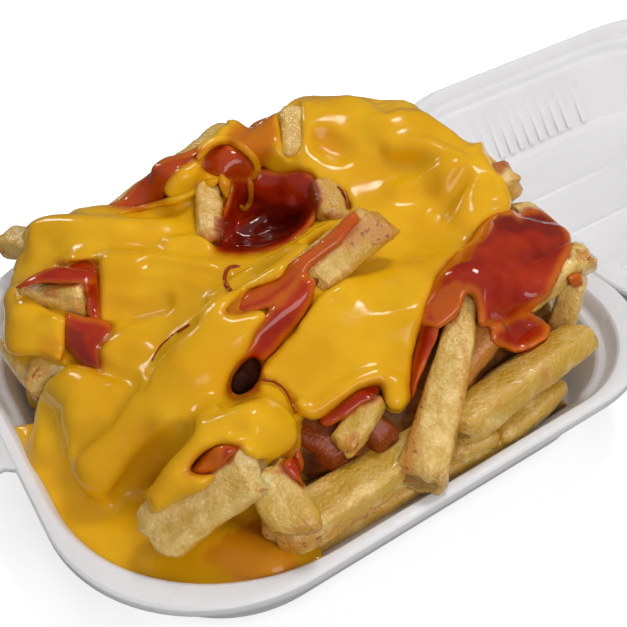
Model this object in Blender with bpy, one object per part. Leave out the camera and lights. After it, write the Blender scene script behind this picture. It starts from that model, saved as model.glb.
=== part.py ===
"""Cheese fries in a hinged foam takeaway box whose lid lies folded open.

Frame: metres, +Z up, origin on the floor in the middle of the hinge line.
The tray with the food lies at -Y, the open lid at +Y, and +X is the side seen in front.
The food is worked out in millimetres and scaled where its meshes are made.
"""
import math

import bmesh
import bpy
import numpy as np
from mathutils import Vector

MM = 0.001

# Box, in millimetres: each half is a drafted shell with the same rim outline
BOX_WIDTH = 209.0
HALF_DEPTH = 225.0
RIM_Z = 37.0
FOAM = 2.3
HINGE_LAND = 5.5
RIM_INSET = 1.5
HINGE_GAP = 0.15
FRONT_RADIUS = 62.0
HINGE_RADIUS = 46.0
CORNER_STEPS = 8

# Clearance of the food to the box, and the room it may fill above the rim
FOOD_GAP = 0.35
WALL_LIFT = 0.14
ROOM_INSET = 0.6
ROOM_TOP = 120.0

# Closing tongue of the tray and the lid's flap, both as long, so the origin is centred
TAB_LENGTH = 15.0
TONGUE_WIDTH = 17.0
FLAP_WIDTH = 46.0
TAB_THICKNESS = 2.2
TAB_ROOT = 3.0
TAB_SPLAY = 3.0
TAB_CORNER = 4.0
TAB_BELOW_RIM = 0.4

# Shell sections: inset from the rim outline, height, front and hinge corner radius
TRAY_INSIDE = (
    (3.8, 37.0, 68, 44), (4.6, 36.2, 68, 43.5), (6.6, 31.4, 66, 42), (7.6, 30.5, 65, 41),
    (9.4, 30.1, 64, 40), (10.6, 29.0, 62, 39), (18.4, 5.0, 46, 30), (20.4, 3.0, 43, 28),
    (23.5, FOAM, 40, 26),
)
TRAY_OUTSIDE = (
    (0.8, 37.0, 62, 46), (0.0, 36.2, 62, 46), (0.0, 33.0, 62, 46), (0.7, 32.1, 62, 46),
    (3.6, 31.8, 62, 43), (5.0, 28.4, 62, 41), (8.4, 27.3, 60, 38), (16.4, 2.0, 47, 30),
    (19.0, 0.0, 43, 28),
)
LID_INSIDE = (
    (2.2, 37.0, 62, 46), (3.0, 36.4, 62, 45), (5.6, 31.8, 64, 43), (6.6, 31.3, 65, 42),
    (7.6, 31.9, 66, 40), (9.0, 31.9, 68, 37), (10.2, 30.3, 70, 35), (13.6, 30.1, 74, 30),
    (15.2, 31.0, 77, 26), (17.6, 30.0, 78, 22), (36.0, 4.6, 60, 14), (41.0, FOAM, 54, 12),
)
LID_HINGE_FACTOR = 0.72
LID_WALL_TOP = LID_INSIDE[-3]
LID_WALL_FOOT = LID_INSIDE[-2]
LID_OUTSIDE = (
    (0.8, 37.0, 62, 46), (0.0, 36.2, 62, 46), (0.0, 34.6, 62, 46), (1.0, 33.8, 62, 45),
    (3.6, 29.2, 63, 43), (6.0, 28.0, 65, 42), (15.6, 27.7, 75, 26), (34.4, 2.0, 60, 14),
    (37.4, 0.0, 56, 13),
)

# Moulded relief of the lid
RIB_PITCH = 6.9
RIB_COUNT = 10
RIB_FIRST_Y = 50.0
CREASE_Y = 123.0
RIB_RADIUS = 1.5
RIB_END_DROP = 1.6
RIB_SINK = 0.4
FLOOR_LINE_X = (-31.6, 0.0, 31.6)
FLOOR_LINE_SPANS = ((37.0, 102.0), (122.0, 182.0))
FLOOR_LINE_WIDTH = 3.4
FLOOR_LINE_FLATNESS = 0.65
FLOOR_LINE_SINK = 0.3

# Bare fries: start, end, width, thickness, roll in degrees, width factor at the end
BARE_FRIES = {
    "front_wide": ((66, -199, 39), (82, -155, 60), 16, 11, 20, 0.9),
    "front_tip": ((93, -167, 44), (76, -160, 52), 15, 12, 0, 1.0),
    "side_long": ((88, -168, 38), (86, -112, 41), 17, 12, 10, 1.0),
    "upright": ((98, -121, 41.5), (61, -73, 69), 15, 11, 0, 0.62),
    "side_big": ((90, -103, 45), (85, -40, 50), 19, 12, 25, 0.8),
    "side_low": ((91, -86, 34), (87, -50, 36), 13, 10, 0, 0.8),
    "side_stub": ((91, -104, 35), (92, -86, 36), 11, 10, 0, 1.0),
    "corner_upright": ((74, -40, 40), (69, -31, 62), 9.5, 9.5, 0, 1.0),
    "corner_end": ((68, -56, 62), (66, -20, 63), 12, 11, 0, 1.0),
    "hinge_end": ((5, -40, 64), (17, -14, 64), 14, 15, 0, 1.0),
    "hinge_across": ((22, -15, 57), (49, -20, 56), 11, 10, 0, 1.0),
    "pointed": ((68, -112, 61), (78, -136, 49), 9, 7, 0, 0.7),
    "pointed_back": ((62, -106, 54), (76, -128, 47), 9, 8, 0, 0.8),
    "side_behind_a": ((58, -146, 50), (80, -134, 44), 11, 9, 0, 1.0),
    "side_behind_b": ((58, -128, 54), (84, -121, 46), 10, 9, 0, 1.0),
    "front_flat": ((-20, -206, 44), (-4, -178, 50), 18, 12, 0, 1.0),
    "far_corner_tip": ((-97, -188, 50), (-68, -175, 58), 14, 10, 0, 1.0),
    "front_low": ((-48, -206, 42), (-15, -204, 43), 11, 9, 0, 1.0),
    "crest_far": ((-73, -90, 76), (-58, -128, 74), 13, 12, 0, 1.0),
    "diagonal_end": ((27, -84, 84), (30, -118, 75), 18, 13, 0, 1.0),
    "sauced_tip": ((-44, -195, 64), (-14, -178, 68), 14, 11, 0, 1.0),
    "far_wall_a": ((-86, -150, 42), (-84, -96, 44), 16, 12, 0, 1.0),
    "far_wall_b": ((-88, -88, 42), (-82, -38, 46), 15, 11, 0, 0.9),
    "far_lean_a": ((-92, -122, 50), (-66, -98, 66), 12, 10, 0, 0.9),
    "far_lean_b": ((-93, -60, 48), (-66, -74, 70), 13, 11, 0, 0.8),
    "rear_wall_a": ((-78, -28, 48), (-48, -18, 54), 13, 11, 0, 1.0),
    "rear_wall_b": ((-44, -18, 47), (-4, -16, 50), 14, 11, 0, 1.0),
}

# Fries wholly under the cheese, which show as its ridges
COVERED_FRIES = {
    "diagonal": ((29, -110, 77), (33, -164, 63), 15, 10, 0, 1.0),
    "diagonal_foot": ((33, -158, 57), (32, -203, 38), 15, 11, 0, 1.0),
    "front_lobe": ((50, -181, 58), (70, -156, 64), 11, 9, 0, 1.0),
    "front_left_lobe": ((8, -196, 44), (14, -180, 50), 20, 12, 0, 1.0),
    "front_blob": ((-31, -202, 46), (-24, -182, 56), 15, 10, 0, 1.0),
    "crest_peak": ((-62, -62, 76), (-30, -30, 76), 16, 11, 0, 1.0),
    "crest_left": ((-50, -106, 71), (-50, -62, 77), 14, 11, 0, 1.0),
    "crest_right": ((-30, -40, 77), (8, -20, 67), 16, 11, 0, 1.0),
    "far_corner": ((-74, -152, 56), (-30, -172, 58), 18, 12, 0, 1.0),
    "hollow_front": ((-10, -150, 54), (25, -112, 62), 16, 12, 0, 1.0),
    "blanket": ((40, -118, 59), (58, -60, 63), 22, 14, 0, 1.0),
}

# Hidden bulk of the heap: centre and radii of rounded lumps, then boxes on the tray floor
LUMPS = (
    ((-12, -95, 40), (80, 78, 26)),
    ((-48, -62, 56), (36, 46, 22)),
    ((46, -104, 41), (39, 70, 21)),
    ((-34, -165, 46), (55, 38, 14)),
    ((10, -30, 50), (50, 22, 17)),
)
BEDS = (
    ((0, -135, 14), (108, 92, 10)),
    ((-22, -30, 14), (86, 32, 10)),
)
BED_ROUNDING = 5.0
HOLLOW = ((-30, -98, 73), (20, 18, 17))
FRY_ROUNDING = 2.5
BLEND = 5.0
HOLLOW_BLEND = 8.0

# Sauces: thickness over the heap and outlines seen from above
CHEESE_DEPTH = 3.0
KETCHUP_DEPTH = 1.9
SAUCE_GAP = 0.6
UNDER_GAP = 0.45
EDGE_ROUNDING = 3.0
CHEESE_OUTLINE = (
    (86, -158), (72, -168), (62, -180), (52, -192), (60, -215), (40, -236), (0, -228),
    (0, -206), (-2, -193), (-14, -200), (-30, -210), (-44, -206), (-66, -198), (-86, -186),
    (-90, -166), (-80, -150), (-62, -146), (-56, -134), (-58, -110), (-64, -84), (-76, -56),
    (-70, -32), (-40, -16), (-8, -12), (14, -14), (32, -26), (40, -48), (50, -70), (59, -88),
    (67, -98), (78, -109), (83, -117), (78, -123), (70, -128), (60, -138), (66, -143),
)
POOL_OUTLINE = (
    (-20, -240), (120, -240), (120, -160), (86, -155), (56, -165), (20, -186), (-8, -208),
)
POOL_Z = 33.0
POOL_BOTTOM_Z = 18.0
KETCHUP_LOWEST = {"ketchup_hollow": 40.0, "ketchup_side": 50.0, "ketchup_crest": 52.0}
KETCHUP_OUTLINES = {
    "ketchup_hollow": (
        (-39, -116), (-43, -102), (-42, -89), (-27, -83), (-10, -84), (-4, -95), (-3, -107),
        (-8, -117), (-21, -121),
    ),
    "ketchup_side": (
        (61, -88), (52, -70), (42, -47), (34, -25), (28, -12), (50, -10), (68, -26), (77, -44),
        (84, -66), (80, -80), (84, -94), (92, -106), (82, -107), (70, -97),
    ),
    "ketchup_crest": (
        (-66, -149), (-84, -140), (-86, -122), (-72, -118), (-60, -122), (-60, -134),
    ),
}
SAUCE_CURVE_STEPS = 4

# Mesh sizes: lattice step and triangles kept of each food shape before it is cut
CORE_STEP = 5.2
SAUCE_STEP = 3.6
CORE_FACES = 1200
CHEESE_FACES = 2500
KETCHUP_FACES = 420
LATTICE_LOW = (-116.0, -250.0, -2.0)
LATTICE_HIGH = (118.0, 14.0, 100.0)
FRY_SECTIONS = 5
FRY_CHAMFER = 0.3
FRY_BEND = 1.2
FRY_END_FACTOR = 0.86
FAR_OUTSIDE = 50.0

CELL_CORNERS = [(i, j, k) for i in (0, 1) for j in (0, 1) for k in (0, 1)]


def clear_scene():
    for item in list(bpy.data.objects):
        bpy.data.objects.remove(item, do_unlink=True)


def material(name, colour, roughness):
    made = bpy.data.materials.new(name)
    made.use_nodes = True
    shader = made.node_tree.nodes["Principled BSDF"]
    shader.inputs["Base Color"].default_value = (*colour, 1.0)
    shader.inputs["Roughness"].default_value = roughness
    shader.inputs["Metallic"].default_value = 0.0
    return made


def add_object(name, mesh, finish=None):
    """A linked object whose only material is the finish."""
    made = bpy.data.objects.new(name, mesh)
    bpy.context.scene.collection.objects.link(made)
    if finish:
        mesh.materials.append(finish)
    return made


def mesh_from(name, points, faces):
    mesh = bpy.data.meshes.new(name)
    mesh.from_pydata([tuple(point) for point in points], [], [tuple(face) for face in faces])
    mesh.update()
    return mesh


def tidy_mesh(mesh, smooth_degrees):
    body = bmesh.new()
    body.from_mesh(mesh)
    bmesh.ops.triangulate(body, faces=[face for face in body.faces if len(face.verts) > 4])
    bmesh.ops.recalc_face_normals(body, faces=body.faces)
    body.to_mesh(mesh)
    body.free()
    mesh.shade_smooth()
    mesh.set_sharp_from_angle(angle=math.radians(smooth_degrees))


def apply_modifiers(made):
    """Bakes an object's modifiers into its mesh."""
    depsgraph = bpy.context.evaluated_depsgraph_get()
    baked = bpy.data.meshes.new_from_object(made.evaluated_get(depsgraph))
    made.modifiers.clear()
    made.data = baked


def combine(made, operation, cutter=None, cutters=None, solver="EXACT"):
    """Applies one Boolean with an object or with a list of objects, which it then removes."""
    step = made.modifiers.new(operation.title(), "BOOLEAN")
    step.operation = operation
    step.solver = solver
    if cutters:
        group = bpy.data.collections.new("joined")
        bpy.context.scene.collection.children.link(group)
        for item in cutters:
            group.objects.link(item)
        step.operand_type = "COLLECTION"
        step.collection = group
        apply_modifiers(made)
        for item in cutters:
            bpy.data.objects.remove(item, do_unlink=True)
        bpy.data.collections.remove(group)
    else:
        step.object = cutter
        apply_modifiers(made)


def keep_largest_body(made):
    """Drops loose scraps that a cut leaves beside the main body."""
    body = bmesh.new()
    body.from_mesh(made.data)
    left = set(body.verts)
    groups = []
    while left:
        front = [left.pop()]
        group = set(front)
        while front:
            vert = front.pop()
            for edge in vert.link_edges:
                other = edge.other_vert(vert)
                if other in left:
                    left.remove(other)
                    group.add(other)
                    front.append(other)
        groups.append(group)
    groups.sort(key=len)
    scraps = [vert for group in groups[:-1] for vert in group]
    bmesh.ops.delete(body, geom=scraps, context="VERTS")
    body.to_mesh(made.data)
    body.free()


def rim_ring(inset, height, front_radius, hinge_radius, side):
    """One closed outline of the box at a height; side is -1 for the tray and 1 for the lid."""
    half_width = BOX_WIDTH / 2 - inset
    front = HALF_DEPTH - inset
    hinge = HINGE_GAP + inset * (LID_HINGE_FACTOR if side > 0 else 1.0)
    if inset > RIM_INSET:
        hinge += HINGE_LAND
    corners = (
        (half_width - front_radius, front - front_radius, front_radius, 90),
        (front_radius - half_width, front - front_radius, front_radius, 180),
        (hinge_radius - half_width, hinge + hinge_radius, hinge_radius, 270),
        (half_width - hinge_radius, hinge + hinge_radius, hinge_radius, 360),
    )
    ring = []
    for centre_x, centre_y, radius, end_angle in corners:
        for step in range(CORNER_STEPS + 1):
            angle = math.radians(end_angle - 90 + 90 * step / CORNER_STEPS)
            x = centre_x + radius * math.cos(angle)
            y = centre_y + radius * math.sin(angle)
            ring.append(Vector((x, y * side, height)) * MM)
    return ring


def loft(name, sections, side):
    """A closed solid through the sections, capped flat on its first and last one."""
    rings = [rim_ring(*section, side) for section in sections]
    count = len(rings[0])
    points = [point for ring in rings for point in ring]
    faces = []
    for level in range(len(rings) - 1):
        for i in range(count):
            j = (i + 1) % count
            low = level * count
            faces.append((low + i, low + j, low + count + j, low + count + i))
    faces.append(tuple(range(count)))
    faces.append(tuple(range(len(points) - count, len(points))))
    return mesh_from(name, points, faces)


def tab(name, width, side):
    """The flat tongue or flap in the middle of a front rim, with splayed root corners."""
    root = HALF_DEPTH - TAB_ROOT
    tip = HALF_DEPTH + TAB_LENGTH
    half = width / 2
    outline = [(-half - TAB_SPLAY, root), (-half - TAB_SPLAY, HALF_DEPTH - HINGE_GAP)]
    outline += [(-half, HALF_DEPTH + TAB_SPLAY), (-half, tip - TAB_CORNER), (-half + TAB_CORNER, tip)]
    outline += [(-x, y) for x, y in reversed(outline)]
    top = RIM_Z - TAB_BELOW_RIM
    low = top - TAB_THICKNESS
    points = [(x * MM, y * side * MM, z * MM) for z in (low, top) for x, y in outline]
    count = len(outline)
    faces = [tuple(range(count)), tuple(range(count, 2 * count))]
    faces += [(i, (i + 1) % count, count + (i + 1) % count, count + i) for i in range(count)]
    made = add_object(name, mesh_from(name, points, faces))
    tidy_mesh(made.data, 30)
    return made


def bar(name, start, end, radius, sides=6, flatness=1.0):
    """A straight bar between two points, round or flattened, used for ribs and floor lines."""
    start = Vector(start) * MM
    end = Vector(end) * MM
    along = end - start
    body = bmesh.new()
    bmesh.ops.create_cone(body, cap_ends=True, segments=sides, radius1=radius * MM,
                          radius2=radius * MM, depth=along.length)
    bmesh.ops.scale(body, verts=body.verts, vec=(1.0, flatness, 1.0))
    mesh = bpy.data.meshes.new(name)
    body.to_mesh(mesh)
    body.free()
    made = add_object(name, mesh)
    turn = along.to_track_quat("Z", "Y").to_matrix().to_4x4()
    turn.translation = (start + end) / 2
    mesh.transform(turn)
    return made


def make_tray(foam):
    sections = tuple(reversed(TRAY_OUTSIDE)) + TRAY_INSIDE
    made = add_object("tray", loft("tray", sections, -1), foam)
    tidy_mesh(made.data, 40)
    combine(made, "UNION", cutters=[tab("tongue", TONGUE_WIDTH, -1)])
    tidy_mesh(made.data, 40)
    return made


def make_lid(foam):
    sections = tuple(reversed(LID_OUTSIDE)) + LID_INSIDE
    made = add_object("lid", loft("lid", sections, 1), foam)
    tidy_mesh(made.data, 40)
    relief = [tab("flap", FLAP_WIDTH, 1)]
    top_x = BOX_WIDTH / 2 - LID_WALL_TOP[0] - RIB_SINK
    foot_x = BOX_WIDTH / 2 - LID_WALL_FOOT[0] - RIB_SINK
    rib_places = [RIB_FIRST_Y + number * RIB_PITCH for number in range(RIB_COUNT)] + [CREASE_Y]
    for side in (-1, 1):
        for y in rib_places:
            start = (top_x * side, y, LID_WALL_TOP[1] - RIB_END_DROP)
            end = (foot_x * side, y, LID_WALL_FOOT[1] + RIB_END_DROP)
            relief.append(bar("rib", start, end, RIB_RADIUS))
    for x in FLOOR_LINE_X:
        for y_start, y_end in FLOOR_LINE_SPANS:
            height = FOAM - FLOOR_LINE_SINK
            ends = ((x, y_start, height), (x, y_end, height))
            relief.append(bar("floor_line", *ends, FLOOR_LINE_WIDTH / 2, 8, FLOOR_LINE_FLATNESS))
    combine(made, "UNION", cutters=relief)
    tidy_mesh(made.data, 40)
    return made


def make_room():
    """The space the food may fill: inside the tray's wall, and wider above its rim."""
    wall = [(inset + FOOD_GAP, z + WALL_LIFT, front, hinge)
            for inset, z, front, hinge in reversed(TRAY_INSIDE)]
    floor = wall[0]
    wall[0] = (floor[0], FOAM + FOOD_GAP, floor[2], floor[3])
    over = [(ROOM_INSET, z, FRONT_RADIUS, HINGE_RADIUS) for z in (RIM_Z + FOOD_GAP, ROOM_TOP)]
    made = add_object("room", loft("room", wall + over, -1))
    tidy_mesh(made.data, 40)
    return made


def fry_axes(fry):
    start, end = Vector(fry[0]), Vector(fry[1])
    along = (end - start).normalized()
    across = along.cross(Vector((0, 0, 1))).normalized()
    up = across.cross(along)
    roll = math.radians(fry[4])
    turned = across * math.cos(roll) + up * math.sin(roll)
    return start, end, along, turned, turned.cross(along)


def fry_mesh(name, fry, grow, draw):
    """A cut potato stick with chamfered edges, a slight bend and uneven sides."""
    start, end, along, across, up = fry_axes(fry)
    width, thickness, narrowing = fry[2], fry[3], fry[5]
    bend = draw.uniform(-FRY_BEND, FRY_BEND)
    points = []
    for section in range(FRY_SECTIONS):
        t = section / (FRY_SECTIONS - 1)
        at_end = section in (0, FRY_SECTIONS - 1)
        factor = (1 + (narrowing - 1) * t) * draw.uniform(0.94, 1.04)
        if at_end:
            factor *= FRY_END_FACTOR
        half_w = width / 2 * factor + grow
        half_t = thickness / 2 * factor + grow
        chamfer = FRY_CHAMFER * min(half_w, half_t)
        centre = start.lerp(end, t) + across * bend * math.sin(math.pi * t)
        centre = centre + along * grow * (2 * t - 1)
        corner = ((half_w, half_t - chamfer), (half_w - chamfer, half_t),
                  (chamfer - half_w, half_t), (-half_w, half_t - chamfer),
                  (-half_w, chamfer - half_t), (chamfer - half_w, -half_t),
                  (half_w - chamfer, -half_t), (half_w, chamfer - half_t))
        points += [(centre + across * a + up * b) * MM for a, b in corner]
    faces = []
    for section in range(FRY_SECTIONS - 1):
        for i in range(8):
            j = (i + 1) % 8
            low = section * 8
            faces.append((low + i, low + j, low + 8 + j, low + 8 + i))
    faces.append(tuple(range(8)))
    faces.append(tuple(range(len(points) - 8, len(points))))
    mesh = mesh_from(name, points, faces)
    tidy_mesh(mesh, 30)
    return mesh


def make_fries(grow):
    """All bare fries as separate objects, each the same shape whatever its growth."""
    made = []
    for number, (name, fry) in enumerate(BARE_FRIES.items()):
        draw = np.random.RandomState(number + 1)
        made.append(add_object(name, fry_mesh(name, fry, grow, draw)))
    return made


def lattice(step):
    spans = [np.arange(low, high + step, step) for low, high in zip(LATTICE_LOW, LATTICE_HIGH)]
    return np.stack(np.meshgrid(*spans, indexing="ij"), -1)


def fry_distance(points, fry):
    start, end, along, across, up = fry_axes(fry)
    from_middle = points - np.array((start + end) / 2)
    half = np.array(((end - start).length, fry[2], fry[3])) / 2 - FRY_ROUNDING
    local = np.stack([from_middle @ np.array(axis) for axis in (along, across, up)], -1)
    beyond = np.abs(local) - half
    outside = np.linalg.norm(np.maximum(beyond, 0), axis=-1)
    return outside + np.minimum(beyond.max(-1), 0) - FRY_ROUNDING


def lump_distance(points, centre, radii):
    scaled = (points - np.array(centre)) / np.array(radii)
    length = np.linalg.norm(scaled, axis=-1) + 1e-9
    slope = np.linalg.norm(scaled / np.array(radii), axis=-1) + 1e-9
    return length * (length - 1) / slope


def bed_distance(points, centre, half):
    beyond = np.abs(points - np.array(centre)) - np.array(half) + BED_ROUNDING
    outside = np.linalg.norm(np.maximum(beyond, 0), axis=-1)
    return outside + np.minimum(beyond.max(-1), 0) - BED_ROUNDING


def smooth_larger(a, b, reach):
    mix = np.clip(0.5 + 0.5 * (a - b) / reach, 0, 1)
    return b + (a - b) * mix + reach * mix * (1 - mix)


def heap_distance(points):
    """Distance to the heap under the sauces, with a hollow in its crown."""
    parts = [lump_distance(points, *lump) for lump in LUMPS]
    parts += [bed_distance(points, *bed) for bed in BEDS]
    parts += [fry_distance(points, fry) for fry in COVERED_FRIES.values()]
    total = sum(np.exp(-np.clip(part, -60, 60) / BLEND) for part in parts)
    heap = -BLEND * np.log(total)
    return smooth_larger(heap, -lump_distance(points, *HOLLOW), HOLLOW_BLEND)


def smooth_loop(outline):
    """A closed curve through the outline's points."""
    corners = np.array(outline, float)
    loop = []
    for i in range(len(corners)):
        p0, p1, p2, p3 = (corners[(i + k - 1) % len(corners)] for k in range(4))
        for step in range(SAUCE_CURVE_STEPS):
            t = step / SAUCE_CURVE_STEPS
            loop.append(0.5 * (2 * p1 + (p2 - p0) * t + (2 * p0 - 5 * p1 + 4 * p2 - p3) * t ** 2
                               + (3 * p1 - p0 - 3 * p2 + p3) * t ** 3))
    return np.array(loop)


def outline_distance(points, outline):
    """Signed distance in plan to a closed outline, below zero inside it."""
    plan = points[:, :, 0, :2]
    loop = smooth_loop(outline)
    nearest = np.full(plan.shape[:2], 1e9)
    inside = np.zeros(plan.shape[:2], bool)
    for a, b in zip(loop, np.roll(loop, -1, axis=0)):
        edge = b - a
        t = np.clip(((plan - a) @ edge) / (edge @ edge + 1e-9), 0, 1)
        nearest = np.minimum(nearest, np.linalg.norm(plan - a - t[..., None] * edge, axis=-1))
        if a[1] != b[1]:
            crosses = (a[1] > plan[..., 1]) != (b[1] > plan[..., 1])
            at_x = a[0] + (plan[..., 1] - a[1]) * edge[0] / edge[1]
            inside ^= crosses & (plan[..., 0] < at_x)
    return np.where(inside, -nearest, nearest)[:, :, None]


def cheese_distance(points):
    blanket = smooth_larger(heap_distance(points) - CHEESE_DEPTH,
                            outline_distance(points, CHEESE_OUTLINE), EDGE_ROUNDING)
    for outline in KETCHUP_OUTLINES.values():
        blanket = smooth_larger(blanket, SAUCE_GAP - outline_distance(points, outline), EDGE_ROUNDING)
    height = points[..., 2]
    level = np.maximum(height - POOL_Z, POOL_BOTTOM_Z - height)
    pool = np.maximum(level, outline_distance(points, POOL_OUTLINE))
    return np.minimum(blanket, pool)


def ketchup_distance(points, outline, lowest):
    patch = np.maximum(outline_distance(points, outline) + SAUCE_GAP, lowest - points[..., 2])
    return smooth_larger(heap_distance(points) - KETCHUP_DEPTH, patch, 1.0)


def surface(name, values, step):
    """Closed mesh where the lattice's values cross zero, one point in each crossed cell."""
    values = np.pad(values, 1, constant_values=FAR_OUTSIDE)
    low = np.array(LATTICE_LOW) - step
    cells = tuple(n - 1 for n in values.shape)
    corner = {c: values[c[0]:c[0] + cells[0], c[1]:c[1] + cells[1], c[2]:c[2] + cells[2]]
              for c in CELL_CORNERS}
    total = np.zeros(cells + (3,))
    count = np.zeros(cells)
    for a in CELL_CORNERS:
        for axis in range(3):
            if a[axis]:
                continue
            b = tuple(a[k] + (k == axis) for k in range(3))
            crossed = (corner[a] < 0) != (corner[b] < 0)
            t = corner[a] / np.where(crossed, corner[a] - corner[b], 1.0)
            for k in range(3):
                total[..., k] += np.where(crossed, a[k] + (t if k == axis else 0.0), 0.0)
            count += crossed
    used = count > 0
    number = np.full(cells, -1)
    number[used] = np.arange(used.sum())
    points = (np.argwhere(used) + total[used] / count[used][:, None]) * step + low
    faces = []
    for axis in range(3):
        b_axis, c_axis = (axis + 1) % 3, (axis + 2) % 3
        here = np.moveaxis(values < 0, (axis, b_axis, c_axis), (0, 1, 2))
        ids = np.moveaxis(number, (axis, b_axis, c_axis), (0, 1, 2))
        start, end = here[:-1, 1:-1, 1:-1], here[1:, 1:-1, 1:-1]
        quad = np.stack([ids[:, :-1, :-1], ids[:, 1:, :-1], ids[:, 1:, 1:], ids[:, :-1, 1:]], -1)
        faces += [tuple(face) for face in quad[start & ~end]]
        faces += [tuple(face[::-1]) for face in quad[end & ~start]]
    return mesh_from(name, points * MM, faces)


def food_surface(name, distance, step, face_count):
    mesh = surface(name, distance, step)
    tidy_mesh(mesh, 60)
    made = add_object(name, mesh)
    thin = made.modifiers.new("Fewer faces", "DECIMATE")
    thin.ratio = min(1.0, face_count / (2 * len(mesh.polygons)))
    thin.use_collapse_triangulate = True
    apply_modifiers(made)
    return made


def grown_copy(made, name, growth):
    """The same facets moved out along their normals."""
    mesh = made.data.copy()
    normals = [vert.normal.copy() for vert in mesh.vertices]
    for vert, normal in zip(mesh.vertices, normals):
        vert.co += normal * growth * MM
    return add_object(name, mesh)


def finish_food(made, room, finish, cutters=()):
    combine(made, "INTERSECT", cutter=room)
    for cutter in cutters:
        combine(made, "DIFFERENCE", cutter=cutter)
    keep_largest_body(made)
    made.data.materials.clear()
    made.data.materials.append(finish)
    tidy_mesh(made.data, 45)


def make_food(potato, cheese, ketchup):
    room = make_room()
    coarse = lattice(CORE_STEP)
    core = food_surface("fries", heap_distance(coarse), CORE_STEP, CORE_FACES)
    under = grown_copy(core, "under", UNDER_GAP)
    combine(under, "UNION", cutters=make_fries(FOOD_GAP))
    combine(core, "UNION", cutters=make_fries(0.0))
    finish_food(core, room, potato)
    fine = lattice(SAUCE_STEP)
    top = food_surface("cheese", cheese_distance(fine), SAUCE_STEP, CHEESE_FACES)
    finish_food(top, room, cheese, [under])
    beside = grown_copy(top, "beside", FOOD_GAP)
    for name, outline in KETCHUP_OUTLINES.items():
        distance = ketchup_distance(fine, outline, KETCHUP_LOWEST[name])
        patch = food_surface(name, distance, SAUCE_STEP, KETCHUP_FACES)
        finish_food(patch, room, ketchup, [under, beside])
    for helper in (room, under, beside):
        bpy.data.objects.remove(helper, do_unlink=True)


def main():
    clear_scene()
    foam = material("white foam", (0.86, 0.86, 0.87), 0.5)
    potato = material("fried potato", (0.80, 0.56, 0.20), 0.5)
    cheese = material("cheese sauce", (0.82, 0.47, 0.02), 0.25)
    ketchup = material("ketchup", (0.42, 0.03, 0.01), 0.2)
    make_tray(foam)
    make_lid(foam)
    make_food(potato, cheese, ketchup)


main()
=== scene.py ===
"""Looks for cheese fries in a hinged foam takeaway box that lies open on a white floor.

The food is worked out in millimetres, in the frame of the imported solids. One volume of
distances holds the heap. The sauces are surfaces of that volume, cut to outlines, and every
fry is a mesh of its own shape. Outlines and strokes that follow the photograph are given in
its pixels and are cast on to the heap, so they lie on it from every side.
"""
import math

import bmesh
import bpy
import numpy as np
from mathutils import Matrix, Vector


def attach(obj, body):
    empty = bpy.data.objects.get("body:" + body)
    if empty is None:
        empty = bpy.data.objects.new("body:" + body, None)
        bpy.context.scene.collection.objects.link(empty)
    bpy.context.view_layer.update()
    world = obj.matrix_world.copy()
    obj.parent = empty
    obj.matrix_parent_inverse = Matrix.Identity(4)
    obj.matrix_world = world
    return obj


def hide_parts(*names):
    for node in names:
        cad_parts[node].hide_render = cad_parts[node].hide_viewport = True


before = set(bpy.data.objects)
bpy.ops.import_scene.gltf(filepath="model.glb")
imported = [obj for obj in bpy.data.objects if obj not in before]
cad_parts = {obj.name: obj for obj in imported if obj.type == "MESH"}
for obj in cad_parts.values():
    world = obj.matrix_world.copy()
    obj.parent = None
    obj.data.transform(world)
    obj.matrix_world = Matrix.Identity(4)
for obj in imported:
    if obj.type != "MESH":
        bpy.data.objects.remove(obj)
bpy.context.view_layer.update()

MM = 0.001

# The photograph's camera, in millimetres, degrees and pixels
CAMERA_AT = np.array((234.2, -227.4, 267.0))
CAMERA_AZIMUTH = 61.2253
CAMERA_ELEVATION = 41.5257
CAMERA_ROLL = -5.5941
FOCAL_PIXELS = 891.3
IMAGE_WIDTH = 627
IMAGE_CENTRE = 313.5

# Box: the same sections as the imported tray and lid, with finer corners
BOX_WIDTH = 209.0
HALF_DEPTH = 225.0
RIM_Z = 37.0
FOAM = 2.3
HINGE_LAND = 5.5
RIM_INSET = 1.5
HINGE_GAP = 0.15
CORNER_STEPS = 22
TAB_LENGTH = 15.0
TONGUE_WIDTH = 17.0
FLAP_WIDTH = 46.0
TAB_THICKNESS = 2.2
TAB_ROOT = 3.0
TAB_SPLAY = 3.0
TAB_CORNER = 4.0
TAB_BELOW_RIM = 0.4
TRAY_INSIDE = (
    (3.8, 37.0, 68, 44), (4.6, 36.2, 68, 43.5), (6.6, 31.4, 66, 42), (7.6, 30.5, 65, 41),
    (9.4, 30.1, 64, 40), (10.6, 29.0, 62, 39), (18.4, 5.0, 46, 30), (20.4, 3.0, 43, 28),
    (23.5, FOAM, 40, 26),
)
TRAY_OUTSIDE = (
    (0.8, 37.0, 62, 46), (0.0, 36.2, 62, 46), (0.0, 33.0, 62, 46), (0.7, 32.1, 62, 46),
    (3.6, 31.8, 62, 43), (5.0, 28.4, 62, 41), (8.4, 27.3, 60, 38), (16.4, 2.0, 47, 30),
    (19.0, 0.0, 43, 28),
)
LID_INSIDE = (
    (2.2, 37.0, 62, 46), (3.0, 36.4, 62, 45), (5.6, 31.8, 64, 43), (6.6, 31.3, 65, 42),
    (7.6, 31.9, 66, 40), (9.0, 31.9, 68, 37), (10.2, 30.3, 70, 35), (13.6, 30.1, 74, 30),
    (15.2, 31.0, 77, 26), (17.6, 30.0, 78, 22), (36.0, 4.6, 60, 14), (41.0, FOAM, 54, 12),
)
LID_HINGE_FACTOR = 0.72
LID_WALL_TOP = LID_INSIDE[-3]
LID_WALL_FOOT = LID_INSIDE[-2]
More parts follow.
